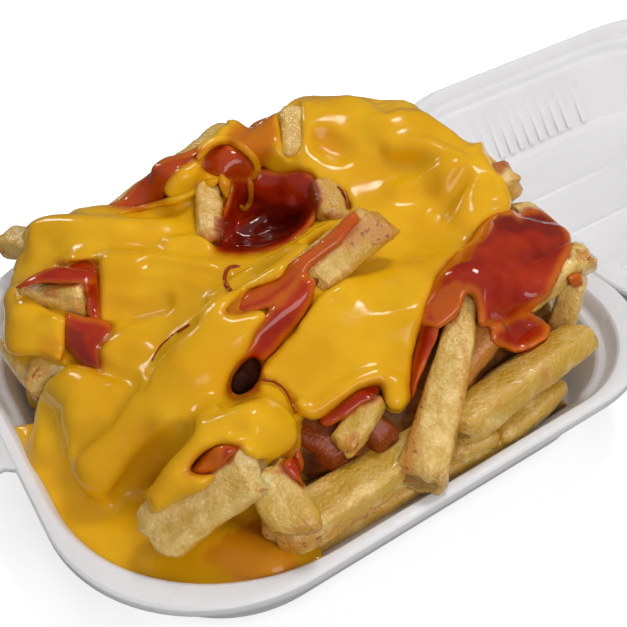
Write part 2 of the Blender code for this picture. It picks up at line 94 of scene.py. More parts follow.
LID_OUTSIDE = (
    (0.8, 37.0, 62, 46), (0.0, 36.2, 62, 46), (0.0, 34.6, 62, 46), (1.0, 33.8, 62, 45),
    (3.6, 29.2, 63, 43), (6.0, 28.0, 65, 42), (15.6, 27.7, 75, 26), (34.4, 2.0, 60, 14),
    (37.4, 0.0, 56, 13),
)
RIB_FIRST = 50.0
RIB_PITCH = 6.9
RIB_COUNT = 10
LONE_RIB = 123.0
RIB_PLACES = [RIB_FIRST + RIB_PITCH * number for number in range(RIB_COUNT)] + [LONE_RIB]
RIB_RADIUS = 2.1
RIB_FLATNESS = 0.45
RIB_END_DROP = 1.6
RIB_SINK = 0.15
FLOOR_LINE_X = (-31.6, 0.0, 31.6)
FLOOR_LINE_SPANS = ((37.0, 102.0), (122.0, 182.0))
FLOOR_LINE_RADIUS = 1.7
FLOOR_LINE_FLATNESS = 0.65
FLOOR_LINE_SINK = 0.3
BAR_SIDES = 12
SOFT_EDGE = 0.5
SOFT_EDGE_ANGLE = 24
SHARP_ANGLES = {"shell": 40, "tab": 30, "foam": 50}

# Room for food in the tray: how far in from the rim above it, and its height over the floor
ROOM_OVER_RIM = 0.6
ROOM_OVER_FLOOR = 0.3

# Bare fries: start, end, width, thickness, roll in degrees, width factor at the end
BARE_FRIES = {
    "front_wide": ((66.4, -196.4, 41.3), (78, -164, 62.5), 19.5, 12, -45, 0.9),
    "front_tip": ((94, -162, 45), (76, -162, 58), 16, 12, 20, 1.0),
    "side_long": ((88, -168, 38), (86, -112, 41), 17, 12, 10, 1.0),
    "upright": ((98, -121, 41.5), (58.5, -69.5, 71), 17, 12, 0, 0.50),
    "side_big": ((90, -103, 45), (85, -40, 50), 19, 12, 25, 0.8),
    "side_low": ((91, -86, 34), (87, -50, 36), 13, 10, 0, 0.8),
    "side_stub": ((91, -104, 35), (92, -86, 36), 11, 10, 0, 1.0),
    "corner_upright": ((74, -40, 40), (69, -31, 62), 9.5, 9.5, 0, 1.0),
    "corner_end": ((68, -56, 62), (66, -20, 63), 12, 11, 0, 1.0),
    "hinge_end": ((5, -40, 66), (18, -13, 67), 14, 15, 0, 1.0),
    "hinge_across": ((22, -15, 57), (49, -20, 56), 11, 10, 0, 1.0),
    "pointed": ((71, -120, 57), (78, -137, 48.5), 11, 8, 0, 0.75),
    "pointed_back": ((65, -111, 53), (76, -128, 47), 9, 8, 0, 0.8),
    "side_behind_a": ((58, -146, 50), (80, -134, 44), 11, 9, 0, 1.0),
    "side_behind_b": ((58, -128, 54), (84, -121, 46), 10, 9, 0, 1.0),
    "front_flat": ((-20, -206, 44), (-4, -178, 50), 18, 12, 0, 1.0),
    "far_corner_tip": ((-97, -188, 50), (-68, -175, 58), 14, 10, 0, 1.0),
    "front_low": ((-48, -206, 42), (-15, -204, 43), 11, 9, 0, 1.0),
    "crest_far": ((-73, -90, 76), (-58, -128, 74), 13, 12, 0, 1.0),
    "diagonal_end": ((26.0, -82.2, 84.4), (29.5, -118.5, 75), 16.5, 12, 38, 1.0),
    "sauced_tip": ((-24, -176, 61), (-46, -197, 62.5), 14, 18, 0, 0.25),
    "far_wall_a": ((-86, -150, 42), (-84, -96, 44), 16, 12, 0, 1.0),
    "far_wall_b": ((-88, -88, 42), (-82, -38, 46), 15, 11, 0, 0.9),
    "far_lean_a": ((-92, -122, 50), (-66, -98, 66), 12, 10, 0, 0.9),
    "far_lean_b": ((-93, -60, 48), (-66, -74, 70), 13, 11, 0, 0.8),
    "side_inner": ((76, -96, 50), (70, -70, 60), 14, 10, 0, 1.0),
    "wall_long": ((88, -170, 30), (90, -112, 31), 12, 10, 0, 1.0),
    "wall_short": ((91, -114, 31), (92, -70, 31), 11, 10, 0, 0.9),
    "rear_wall_a": ((-78, -28, 48), (-48, -18, 54), 13, 11, 0, 1.0),
    "rear_wall_b": ((-44, -18, 47), (-4, -16, 50), 14, 11, 0, 1.0),
}

# Fries under the sauces, which show as ridges and through the openings
COVERED_FRIES = {
    "diagonal": ((29, -110, 77), (33, -164, 63), 15, 10, 0, 1.0),
    "diagonal_foot": ((33, -158, 57), (32, -203, 38), 15, 11, 0, 1.0),
    "front_lobe": ((50, -181, 58), (70, -156, 64), 11, 9, 0, 1.0),
    "front_left_lobe": ((8, -196, 44), (14, -180, 50), 20, 12, 0, 1.0),
    "front_blob": ((-31, -202, 46), (-24, -182, 56), 15, 10, 0, 1.0),
    "crest_peak": ((-62, -62, 76), (-30, -30, 76), 16, 11, 0, 1.0),
    "crest_left": ((-50, -106, 71), (-50, -62, 77), 14, 11, 0, 1.0),
    "crest_right": ((-30, -40, 77), (8, -20, 67), 16, 11, 0, 1.0),
    "far_corner": ((-74, -152, 56), (-30, -172, 58), 18, 12, 0, 1.0),
    "hollow_front": ((-10, -150, 54), (25, -112, 62), 16, 12, 0, 1.0),
    "blanket": ((40, -118, 59), (58, -60, 63), 22, 14, 0, 1.0),
    "far_bank": ((-79, -140, 51), (-71, -113, 67), 14, 10, 0, 1.0),
    "front_fill": ((-20, -201, 33), (12, -208, 33), 13, 12, 0, 1.0),
}

# Fries laid flush in gaps of the cheese: pixels of both ends, width and thickness
FLUSH_FRIES = {
    "cream_cut": (((289, 109), (291, 160)), 11, 10),
    "pit_left": (((205, 184), (210, 242)), 10, 8),
    "pit_right": (((322, 180), (338, 222)), 12, 8),
}
FLUSH_SINK = 4.3
FLUSH_ROLL = 20

# Covered fries that show at the far side, and how far they lie below their places there
SHOWN_COVERED = ("crest_peak", "crest_right", "far_corner")
COVERED_DROP = np.array((0.0, 0.0, 3.5))

# A fry's own mesh: points round it, rings along it, and its forms in millimetres
FRY_AROUND = 28
FRY_RINGS = 30
FRY_BOXINESS = 0.50
FRY_END_RADIUS = 3.4
FRY_END_RADII = (2.2, 5.0)
FRY_LEAST_HALF = 0.6
FRY_BEND = 1.2
FRY_TILT = 0.42

# Its unevenness, each a height, a size and a seed, and how rough the ends are and how far
FRY_SWELL = (0.70, 8.0, 1)
FRY_LUMPS = (0.38, 3.6, 2)
FRY_GRAIN = (0.14, 1.5, 3)
FRY_TIPS = (0.90, 3.0, 11)
FRY_PATCHES = (1.0, 6.0, 4)
RAGGED_MORE = 1.6
RAGGED_LENGTH = 6.0

# Loose fries on the sides that the photograph does not show: how many are tried and kept, their
# points round and rings along, the ranges in millimetres and degrees they are drawn from, then
# how far they keep from the tray, from sight, from the heap's surface and from one another
FILLING_SEED = 40
FILLING_TRIES = 2600
FILLING_COUNT = 90
FILLING_AROUND = 20
FILLING_RINGS = 22
FILLING_FIRST_NUMBER = 100
FILLING_MIDDLE = (0.0, -112.0)
FILLING_REACH = np.linspace(10, 118, 109)
FILLING_HEIGHTS = (9, 62)
FILLING_PITCHES = (-38, 38)
FILLING_HALVES = (16, 36)
FILLING_WIDTHS = (11, 15)
FILLING_FLATNESS = 0.8
FILLING_SINKS = (-4.5, -1.0)
FILLING_ROLLS = (-30, 30)
FILLING_TAPERS = (0.85, 1.0)
FILLING_OFF_WALL = 0.56
FILLING_SIDE = 0.6
FILLING_ABOVE = 4.5
FILLING_BELOW = -16
FILLING_APART = 9

# How broadly the ends of a fry are rounded, in millimetres at its start and end
FRY_ENDS = {
    "front_wide": (4.5, 3.0), "front_tip": (4.5, 3.0), "side_big": (3.0, 5.5),
    "side_long": (6.0, 3.0), "upright": (3.0, 4.0), "pointed": (2.0, 2.0),
    "corner_end": (3.0, 2.0), "diagonal_end": (1.6, 3.0),
}

# Fries that ketchup has soaked
FRY_STAINS = {"side_behind_a": 1.0, "side_behind_b": 0.95, "side_inner": 0.35, "pointed_back": 0.8,
              "pit_right": 0.15, "pit_left": 0.10}

# Fries that are paler and fried less, and fries that are yellower than most
PALE_FRIES = ("front_wide", "hinge_end", "corner_end", "corner_upright", "front_low", "upright",
              "sauced_tip")
YELLOW_FRIES = ("side_big", "side_long", "side_low", "front_tip", "diagonal_end")

# Where the fries seen are fried darker, and where sauce has run on them: outline and strength
BROWN_SEEN = {
    "upright_left": (((400, 478), (406, 440), (417, 395), (424, 350), (430, 352), (425, 400),
                      (415, 450), (411, 486)), 0.75),
    "upright_foot": (((401, 472), (428, 482), (456, 478), (453, 505), (420, 500)), 0.40),
    "upright_right": (((463, 340), (472, 345), (462, 420), (456, 470), (451, 470), (456, 410)), 0.45),
    "diagonal_cut": (((336, 246), (352, 226), (372, 210), (396, 216), (394, 240), (376, 246),
                      (362, 240), (350, 250)), 0.95),
    "tip_foot": (((262, 520), (276, 532), (300, 540), (318, 534), (322, 545), (290, 552),
                  (260, 536)), 0.6),
    "corner_spots": (((576, 249), (593, 251), (593, 262), (578, 261)), 0.95),
    "tip_patch": (((287, 524), (312, 514), (320, 530), (308, 547), (288, 543)), 0.42),
    "side_spots": (((540, 367), (550, 371), (547, 384), (539, 379)), 0.85),
    "side_foot": (((262, 540), (286, 548), (302, 566), (280, 570)), 0.65),
    "pointed_end": (((343, 438), (358, 434), (358, 454), (346, 454)), 0.8),
    "side_edge": (((300, 540), (360, 515), (400, 492), (402, 500), (360, 524), (304, 552)), 0.4),
}
SAUCED_SEEN = {
    "hinge_top": (((487, 164), (511, 156), (517, 160), (503, 175), (491, 180)), 0.45),
    "tip_front": (((40, 289), (62, 287), (58, 298), (44, 297)), 0.35),
}

# Hidden bulk of the heap: centre and radii of rounded lumps, then boxes on the tray floor
LUMPS = (
    ((-12, -95, 40), (80, 78, 26)),
    ((-48, -62, 56), (36, 46, 22)),
    ((46, -104, 41), (39, 70, 21)),
    ((-34, -165, 46), (55, 38, 14)),
    ((10, -30, 50), (50, 22, 17)),
)
BEDS = (
    ((0, -135, 14), (108, 92, 10)),
    ((-22, -30, 14), (86, 32, 10)),
)
HOLLOW = ((-30, -98, 73), (20, 18, 17))
BED_ROUNDING = 5.0
FRY_ROUNDING = 2.5

# How broadly forms run into one another, in millimetres
BLEND = 5.0
HOLLOW_BLEND = 8.0
CHEESE_FRY_BLEND = 5.0
FREE_FRY_BLEND = 2.0
FLOW_BLEND = 2.6
KETCHUP_FLOW_BLEND = 2.5
FLOW_BLEND_SHARE = 0.8
DENT_BLEND = 3.0
DENT_BLEND_SHARE = 0.6
POOL_BLEND = 3.0
SWELL_BLEND = 4.0
HOLE_BLEND = 2.0

# Sauces, in millimetres
CHEESE_DEPTH = 3.0
CHEESE_SMOOTHING = 1.6
CHEESE_ROOT = 5.0
KETCHUP_ROOT = 3.0
CHEESE_EDGE = 3.0
KETCHUP_EDGE = 2.0
WIDE_SPAN = 2.0
CLOSE_SPAN = 1.0
CLOSE_GAP = 0.6
CLOSE_BLEND = 2.0
PIT_OVERLAP = 1.0
POOL_Z = 33.0
POOL_BOTTOM_Z = 18.0
WALL_OVERLAP = 1.2

# Outlines seen from above, for the side that the photograph does not show
CHEESE_PLAN = (
    (86, -158), (72, -168), (62, -180), (52, -192), (60, -215), (40, -236), (0, -228),
    (0, -206), (-2, -193), (-14, -200), (-30, -210), (-44, -206), (-66, -198), (-86, -186),
    (-90, -166), (-80, -150), (-62, -146), (-56, -134), (-58, -110), (-64, -84), (-76, -56),
    (-70, -32), (-40, -16), (-8, -12), (14, -14), (32, -26), (40, -48), (50, -70), (59, -88),
    (67, -98), (78, -109), (83, -117), (78, -123), (70, -128), (60, -138), (66, -143),
)
POOL_PLAN = (
    (-20, -240), (120, -240), (120, -160), (86, -155), (56, -165), (20, -186), (-8, -208),
)

# Outlines in the photograph's pixels
DOLLOP_SEEN = (
    (202, 168), (206, 156), (212, 146), (222, 144), (235, 150), (247, 157), (253, 167),
    (252, 175), (246, 180), (236, 179), (222, 177), (209, 172),
)
CHEESE_SEEN = {
    "left": (
        (27, 222), (45, 212), (62, 205), (112, 204), (139, 208), (152, 203), (163, 199),
        (182, 195), (198, 190), (204, 200), (205, 225), (206, 236), (212, 243), (222, 251),
        (240, 254), (262, 251), (290, 241), (313, 226), (332, 217), (350, 213), (353, 214),
        (338, 227), (325, 241), (310, 250), (300, 258), (288, 268), (283, 278), (268, 284),
        (250, 290), (238, 298), (224, 311), (232, 315), (250, 311), (264, 311), (266, 318),
        (258, 330), (252, 345), (247, 355), (240, 364), (230, 378), (227, 392), (231, 399),
        (222, 408), (205, 416), (214, 415), (240, 400), (256, 392), (258, 381), (268, 380),
        (280, 386), (290, 397), (292, 408), (298, 420), (299, 438), (294, 450), (282, 459),
        (268, 462), (255, 459), (244, 452), (236, 446), (222, 446), (208, 450), (196, 460),
        (186, 472), (200, 475), (216, 474), (208, 486), (196, 496), (182, 500), (168, 507),
        (158, 515), (151, 513), (146, 504), (140, 497), (131, 499), (123, 515), (118, 560),
        (40, 560), (10, 450), (32, 432), (36, 405), (40, 392), (52, 378), (66, 366), (84, 365),
        (101, 371), (98, 350), (104, 341), (110, 334), (112, 322), (100, 320), (98, 300),
        (98, 270), (97, 262), (85, 261), (60, 265), (44, 270), (30, 279), (16, 288), (28, 295),
        (40, 303), (55, 313), (66, 318), (66, 334), (66, 350), (60, 362), (40, 357), (10, 356),
        (-20, 350), (-20, 302), (-3, 290), (9, 268), (24, 250),
    ),
    "crest": (
        (160, 192), (164, 181), (176, 168), (190, 160), (200, 149), (214, 134), (226, 121),
        (238, 104), (247, 108), (255, 100), (268, 100), (298, 98), (330, 96),
        (350, 92), (370, 100), (385, 112), (400, 108), (430, 110), (446, 118), (454, 128),
        (462, 138), (470, 143), (484, 139), (484, 148), (488, 158), (492, 166), (502, 176),
        (508, 188), (512, 200), (510, 213), (498, 215), (488, 222), (480, 232), (472, 243),
        (462, 251), (451, 261), (441, 275), (432, 292), (425, 312), (419, 332), (412, 362),
        (409, 384), (411, 400), (402, 411), (390, 411), (384, 402), (381, 386), (372, 386),
        (360, 390), (345, 401), (331, 412), (322, 419), (311, 421), (300, 416), (294, 404),
        (290, 394), (280, 384), (266, 379), (257, 380), (258, 370), (268, 358), (282, 345),
        (296, 330), (309, 310), (318, 297), (330, 288), (352, 272), (372, 256), (386, 241),
        (392, 228), (386, 218), (372, 212), (354, 213), (350, 205), (344, 192), (336, 188),
        (322, 190), (318, 183), (309, 174), (298, 172), (284, 175), (272, 173), (262, 165),
        (258, 174), (251, 181), (251, 196), (249, 210), (242, 214), (236, 206), (241, 202),
        (243, 182), (232, 180), (231, 195), (226, 200), (221, 194), (217, 183), (206, 188),
        (184, 202), (160, 208), (143, 209), (152, 202), (170, 200),
    ),
}
CHEESE_GAPS = {
    "dollop": DOLLOP_SEEN,
    "cream": (
        (279, 106), (298, 102), (301, 128), (299, 150), (291, 160), (283, 150), (279, 126),
    ),
    "pit_left": (
        (203, 193), (212, 190), (221, 202), (218, 229), (211, 239), (202, 229), (199, 212),
    ),
    "pit_right": (
        (318, 192), (326, 184), (336, 186), (344, 197), (344, 209), (336, 217), (322, 218),
        (317, 206),
    ),
}
KETCHUP_SEEN = {
    "ketchup_crest": {
        "upper_left": (
            (112, 207), (125, 200), (138, 184), (148, 172), (160, 163), (175, 159), (190, 156),
            (200, 149), (207, 145), (197, 158), (183, 166), (172, 176), (163, 188), (162, 198),
            (152, 203), (140, 210), (125, 209),
        ),
    },
    "ketchup_hollow": {
        "dollop": DOLLOP_SEEN,
        "pit": (
            (216, 251), (213, 240), (216, 226), (224, 214), (229, 202), (232, 188), (232, 178),
            (247, 180), (256, 172), (268, 172), (285, 175), (300, 171), (312, 176), (318, 186),
            (321, 194), (318, 206), (312, 218), (304, 231), (289, 243), (265, 252), (240, 255),
            (225, 254),
        ),
    },
    "ketchup_streaks": {
        "left_low": (
            (68, 315), (85, 319), (99, 321), (110, 326), (110, 334), (104, 342), (98, 350),
            (101, 362), (101, 371), (86, 366), (73, 353), (66, 345), (65, 332),
        ),
        "diagonal_top": (
            (225, 313), (238, 299), (250, 291), (268, 284), (283, 278), (290, 268), (302, 257),
            (320, 246), (335, 231), (353, 213), (358, 219), (349, 231), (338, 243), (322, 255),
            (310, 264), (300, 276), (288, 289), (272, 302), (256, 309), (240, 314),
        ),
        "diagonal_side": (
            (313, 282), (301, 277), (295, 288), (282, 301), (269, 315), (258, 330), (252, 345),
            (246, 356), (238, 366), (230, 379), (227, 393), (231, 399), (242, 397), (258, 390),
            (258, 372), (264, 358), (275, 347), (290, 329), (302, 314), (310, 300),
        ),
    },
    "ketchup_films": {
        "tip_top": (
            (15, 288), (30, 278), (45, 269), (60, 264), (85, 260), (98, 261), (98, 281),
            (70, 283), (40, 282), (24, 287),
        ),
        "tip_side": ((84, 281), (98, 281), (101, 300), (99, 322), (88, 318), (87, 300)),
        "under_blanket": (
            (320, 421), (332, 409), (345, 399), (360, 388), (373, 384), (381, 384), (379, 395),
            (366, 403), (350, 413), (336, 422), (326, 427),
        ),
        "front_patch": (
            (186, 473), (196, 459), (208, 449), (224, 445), (240, 446), (232, 454), (218, 470),
            (204, 475),
        ),
        "behind_lobe": (
            (284, 462), (291, 455), (299, 446), (303, 462), (302, 484), (292, 478), (282, 470),
        ),
        "blanket_edge": (
            (411, 384), (413, 360), (419, 332), (424, 314), (440, 318), (436, 340), (426, 362),
            (418, 380), (412, 400),
        ),
    },
    "ketchup_side": {
        "face": (
            (422, 322), (425, 311), (432, 291), (441, 274), (451, 260), (463, 250), (473, 242),
            (480, 231), (489, 220), (499, 214), (512, 212), (520, 219), (528, 209), (541, 212),
            (556, 219), (566, 229), (571, 240), (568, 252), (561, 264), (554, 280), (546, 294),
            (531, 307), (516, 318), (509, 323), (498, 326), (482, 323), (480, 306), (475, 292),
            (468, 287), (462, 293), (458, 306), (452, 316), (438, 326),
        ),
        "blob": (
            (493, 332), (503, 324), (515, 316), (530, 315), (541, 320), (548, 328), (544, 337),
            (531, 346), (516, 350), (503, 346), (494, 340),
        ),
        "drop": ((571, 278), (579, 276), (580, 283), (574, 284)),
    },
}

ALL_KETCHUP = [outline for group in KETCHUP_SEEN.values() for outline in group.values()]

# Depth of each ketchup piece, how smoothly it spans what it lies on and how far it goes on
# past its outline, in millimetres
KETCHUP_DEPTHS = {
    "ketchup_crest": (1.8, 1.0, 1.6),
    "ketchup_hollow": (1.8, 1.0, 1.6),
    "ketchup_streaks": (1.3, 1.0, 1.0),
    "ketchup_films": (0.7, 0.7, 0.3),
    "ketchup_side": (1.6, 3.6, 1.1),
}

# Bare fries that the cheese does not climb on
FREE_FRIES = (
    "diagonal_end", "sauced_tip", "side_inner", "wall_long", "wall_short", "upright", "pointed",
    "pointed_back", "side_big", "side_low", "side_stub", "side_long", "front_tip", "front_low",
    "corner_upright", "corner_end", "hinge_across",
)

# The pit in the heap, its part whose ketchup is painted near black as painted shade, the shade
# under the near ketchup, the hole between the fries and the bare wall at the left: outlines, then
# depths and places in millimetres
PIT_SEEN = (
    (215, 251), (212, 240), (216, 226), (224, 213), (229, 202), (233, 190), (245, 186),
    (258, 188), (274, 198), (298, 201), (318, 202), (313, 218), (304, 231), (289, 243),
    (265, 253), (240, 256), (225, 255),
)
PIT_SHADE_SEEN = (
    (220, 252), (226, 238), (240, 226), (258, 206), (275, 200), (300, 203), (308, 212),
    (300, 228), (287, 242), (264, 252), (240, 256),
)
SIDE_SHADE_SEEN = (
    (491, 223), (499, 230), (512, 232), (530, 231), (550, 235), (566, 238), (560, 225),
    (541, 212), (520, 219), (499, 214),
)
HOLE_SEEN = (
    (230, 390), (233, 375), (245, 361), (254, 356), (262, 364), (259, 380), (249, 392), (237, 396),
)
BARE_WALL_SEEN = (
    (-30, 356), (34, 356), (37, 366), (36, 392), (33, 428), (22, 446), (-30, 446),
)
PIT_MIDDLE = np.array((-30.0, -98.0, 60.0))
PIT_REACH = 42
PIT_DEPTH = 10.0
PIT_WALL = 8.0
HOLE_DEPTH = 22.0
BARE_WALL_DEPTH = 60.0

# Thick drops and bridges of ketchup: pixels of the line, radius and lift over what they lie on
KETCHUP_FLOWS = {
    "ketchup_crest": {
        "bridge": (((136, 203), (190, 160)), 5.0, -3.6),
    },
    "ketchup_hollow": {
        "dollop": (((213, 157), (228, 159), (243, 167)), 4.2, -2.0),
        "lump": (((261, 180), (285, 180), (307, 188)), 4.6, -2.6),
        "arc": (((247, 231), (270, 218), (296, 205)), 3.4, 0.6),
    },
    "ketchup_films": {
        "front_patch": (((194, 467), (208, 457), (226, 451)), 3.5, -1.8),
    },
    "ketchup_side": {
        "bridge": (((474, 252), (552, 248)), 6.0, -4.8),
        "seam_left": (((500, 236), (474, 284)), 6.5, -5.2),
        "seam_right": (((522, 244), (498, 290)), 6.5, -5.2),
        "lip": (((488, 223), (499, 231), (512, 233), (530, 232), (550, 236), (561, 238)), 2.2, 0.0),
    },
}

# Where the ketchup is thin enough to look orange: outline and strength
THIN_SEEN = {
    "front_patch": (((183, 475), (196, 457), (210, 447), (226, 444), (216, 476)), 0.8),
    "diagonal_top": (
        ((236, 301), (268, 282), (290, 266), (320, 244), (352, 212), (358, 220), (322, 256),
         (290, 280), (268, 296), (240, 308)), 0.45,
    ),
    "dollop": (((204, 164), (212, 147), (236, 151), (252, 168), (244, 178), (216, 174)), 0.16),
    "upper_left": (((112, 207), (138, 184), (160, 163), (200, 149), (172, 176), (152, 203)), 0.22),
    "face_low": (((428, 312), (436, 290), (452, 282), (468, 284), (476, 302), (468, 322),
                  (440, 326)), 0.5),
}

# Where the ketchup is painted darker: painted shade behind the lip at the side, and darker ketchup
# in the lower part of the patch low at the left: outline and strength
DARK_AND_SHADE_SEEN = {
    "left_low": (((62, 322), (82, 334), (88, 350), (98, 372), (82, 372), (62, 350)), 0.55),
    "side_lip": (SIDE_SHADE_SEEN, 0.5),
}

# Colour in the cheese where ketchup is mixed in or lies under it, and painted shade: the crest's
# hollow, the valleys, the blanket's foot and the cheese under the fries are painted a darker orange
# where shade falls. Each is an outline, how orange it is from thinly spread cheese and painted
# shade, and how reddened
CHEESE_TINTS = {
    "crest_orange": (
        ((222, 152), (228, 134), (240, 120), (256, 111), (274, 113), (277, 135), (271, 156),
         (262, 170), (254, 156), (240, 146)), 0.95, 0.25,
    ),
    # Painted shade in the hollow on the crest
    "crest_hollow": (
        ((315, 134), (330, 128), (345, 135), (348, 148), (338, 157), (322, 155), (314, 146)),
        0.35, 0.0,
    ),
    "drip_root": (((216, 178), (250, 178), (250, 200), (240, 210), (222, 200)), 0.55, 0.1),
    # Painted shade: darker orange where the fries shade the pooled cheese
    "under_fries": (
        ((208, 515), (240, 505), (290, 520), (300, 575), (240, 584), (205, 560)), 0.75, 0.05,
    ),
    # Painted shade in the valley beside the ridge at the front
    "front_valley": (
        ((122, 430), (150, 418), (168, 440), (172, 478), (152, 512), (128, 500)), 0.22, 0.0,
    ),
    # Painted shade in the valley at the left
    "left_valley": (((104, 295), (150, 298), (165, 312), (140, 324), (106, 318)), 0.15, 0.0),
    "left_edge": (((40, 335), (66, 340), (72, 362), (40, 358)), 0.5, 0.05),
    # Painted shade along the blanket's lower edge
    "blanket_foot": (((300, 408), (385, 378), (384, 400), (330, 422)), 0.3, 0.0),
}

# Flows and folds of the cheese: pixels of the line, radius and lift over the blanket
FLOWS = {
    "left_ridge": (((40, 232), (75, 232), (120, 236), (160, 236)), 7.0, -4.6),
    "second_ridge": (((112, 268), (150, 270), (200, 278)), 6.5, -4.4),
    "left_lump": (((112, 352), (128, 346), (140, 352)), 6.0, -3.4),
    "lobe_in_pit": (((172, 246), (190, 243), (208, 246)), 3.6, -1.6),
    "upper_lobe": (((172, 190), (185, 176), (205, 160), (222, 132)), 4.0, -1.8),
    "crest_fold_a": (((395, 146), (430, 148), (455, 160)), 4.0, -1.8),
    "crest_fold_b": (((400, 196), (425, 186), (446, 172)), 5.0, -2.6),
    "crest_fold_c": (((458, 172), (468, 190), (470, 220)), 6.0, -4.0),
    "crest_point": (((470, 150), (482, 144)), 1.6, -0.4),
    "front_left": (((58, 380), (82, 396), (86, 418)), 7.0, -4.8),
    "front_lobe": (((215, 432), (250, 424), (282, 436)), 6.5, -3.8),
    "front_drip": (((206, 446), (190, 461), (174, 479), (160, 504)), 4.4, -2.0),
    "drip_skirt": (((204, 480), (186, 488), (166, 501)), 3.4, -1.4),
    "blanket_lip": (((300, 408), (312, 412), (330, 402), (356, 384), (378, 376)), 2.6, -0.9),
    "bulb": (((396, 388), (396, 402)), 4.0, -1.6),
    "diagonal_strip": (((214, 300), (250, 274), (290, 250), (330, 224)), 2.2, -0.6),
    "diagonal_ridge": (((226, 322), (188, 372), (144, 417), (98, 466)), 8.5, -5.0),
    "cream_blob": (((18, 300), (24, 316)), 6.0, -3.4),
}

# Thin strands that lie on the surface: pixels of the line, radius at each end and lift
CHEESE_STRANDS = {
    "hook": (
        ((198, 160), (204, 150), (216, 142), (229, 141), (242, 147), (252, 156), (257, 166),
         (256, 174), (250, 181)), 2.4, 1.5, 1.1,
    ),
    "hook_drip": (((249, 177), (251, 190), (250, 202), (245, 209), (240, 206)), 1.4, 1.1, 1.2),
    "short_drip": (((221, 174), (225, 186), (227, 198)), 2.6, 1.9, 0.6),
    "ribbon": (((118, 214), (150, 206), (180, 198), (204, 187), (219, 180)), 1.0, 2.0, 0.3),
}
KETCHUP_STRANDS = {
    "curl": (((240, 266), (229, 268), (225, 276), (226, 284), (231, 291)), 0.7, 0.9, 0.2),
    "crease": (((190, 324), (173, 335), (160, 347), (152, 361)), 0.45, 0.35, 0.3),
    "lobe_edge": (
        ((262, 380), (274, 382), (284, 389), (290, 399), (295, 414)), 0.5, 0.4, 0.1,
    ),
    "pit_right_edge": (((337, 186), (346, 196), (347, 208), (342, 217)), 0.5, 0.5, 0.3),
}

# Folds pressed into the cheese: pixels of the line, radius and lift of the bar that presses
DENTS = {
    "crest_groove": (((465, 172), (452, 192), (440, 212)), 3.2, 0.8),
    "crest_hollow": (((324, 139), (333, 145), (340, 147)), 6.0, 3.1),
    "left_valley": (((108, 304), (130, 308), (160, 300)), 5.0, 1.5),
    "ridge_line": (
        ((104, 369), (124, 376), (141, 383), (152, 364), (168, 343), (190, 324)), 2.2, 0.0,
    ),
    "pit_valley": (((150, 262), (190, 268), (222, 276)), 2.4, 0.5),
    "ridge_right": (((178, 428), (154, 460), (128, 496)), 5.0, 2.4),
    "ridge_left": (((127, 390), (104, 420), (74, 446)), 3.0, 1.2),
    "dimple": (((234, 430), (242, 430)), 1.1, 0.0),
}
POOL_SWELL = np.array(((64.0, -184.0, 29.0), (90.0, -171.0, 31.0)))
POOL_SWELL_RADIUS = 7.5

# Uneven surfaces and edges, each a height, a size and a seed
CHEESE_WAVES = ((0.60, 14.0, 12), (0.18, 6.0, 12))
CHEESE_EDGE_WAVES = ((0.50, 5.0, 5), (0.25, 2.2, 6))
KETCHUP_EDGE_WAVES = (0.40, 4.0, 5)
POOL_SWIRL = (0.35, 24.0, 9)
CORE_LUMPS = (1.60, 8.0, 15)
STAIN_EDGE = (0.90, 3.0, 7)
PAINTED_EDGE = (0.70, 2.5, 14)
SAUCE_EDGE = (0.50, 4.0, 8)

# The heap's core: how far it stands out between the fries and stays under the sauce and clear
# of the tray, in millimetres
CORE_SWELL = 2.5
CORE_UNDER_SAUCE = 3.5
CORE_OFF_WALL = 0.5

# Meshes: the volume's step and corners, what is far or near in it, in millimetres, then the
# fewest points of a piece that is kept and the most triangles of a surface
STEP = 1.25
LOW = np.array((-106.0, -224.0, 1.0))
HIGH = np.array((107.0, -3.0, 97.0))
FAR = 30.0
FAR_IN_PIXELS = 60.0
NEAR_PIXELS = 24
NEAR_PIT = 24
NEAR_SURFACE = 5.0
NEAR_WAVES = 10
NEAR_LUMPS = 8
NEAR_KETCHUP = (-9, 6)
KETCHUP_MARGINS = (20, 9)
BULK_MARGIN = 30
FRY_MARGIN = 16
HOLE_MARGIN = 10
BAR_MARGIN = 6
DEPTH_MAP_PIXELS = 3
CAST_STEPS = 90
HIDDEN_BEHIND = (6.0, 14.0)
SMOOTH_ROUNDS = 3
FEWEST_OF_PIECE = 400
FEWEST_OF_DROP = 60
MOST_CHEESE = 170000
MOST_CORE = 90000

# Studio light: the side that the sky is brightest on, its range and brightness, then lamps by
# direction from the food, distance in metres, size in metres and watts
SKY_SIDE = (0.50, -0.20, 0.84)
SKY = (-0.3, 0.9, 0.12, 0.50)
LIGHT_MIDDLE = Vector((0.0, -0.11, 0.06))
LIGHTS = {
    "key": ((-0.15, 0.45, 1.0), 1.0, (0.23, 0.23), 3.8),
    "side": ((1.0, -0.05, 0.6), 1.1, (0.8, 0.5), 5.0),
    "left": ((-0.9, -0.1, 0.45), 1.0, (0.12, 0.28), 1.2),
}

# Floor: half its width and its height in millimetres, its colour and how much it glows
FLOOR_HALF = 4000
FLOOR_Z = -0.2
FLOOR_COLOUR = (0.92, 0.92, 0.92)
FLOOR_GLOW = 0.435

# Camera: the sensor's width in millimetres and the nearest distance seen in metres
SENSOR_WIDTH = 36.0
NEAREST_SEEN = 0.01

# The volume: corners of a cell, points along each axis and how many there are
CORNERS = [(i, j, k) for i in (0, 1) for j in (0, 1) for k in (0, 1)]
AXES = [np.arange(low, high, STEP) for low, high in zip(LOW, HIGH)]
SHAPE = tuple(len(axis) for axis in AXES)


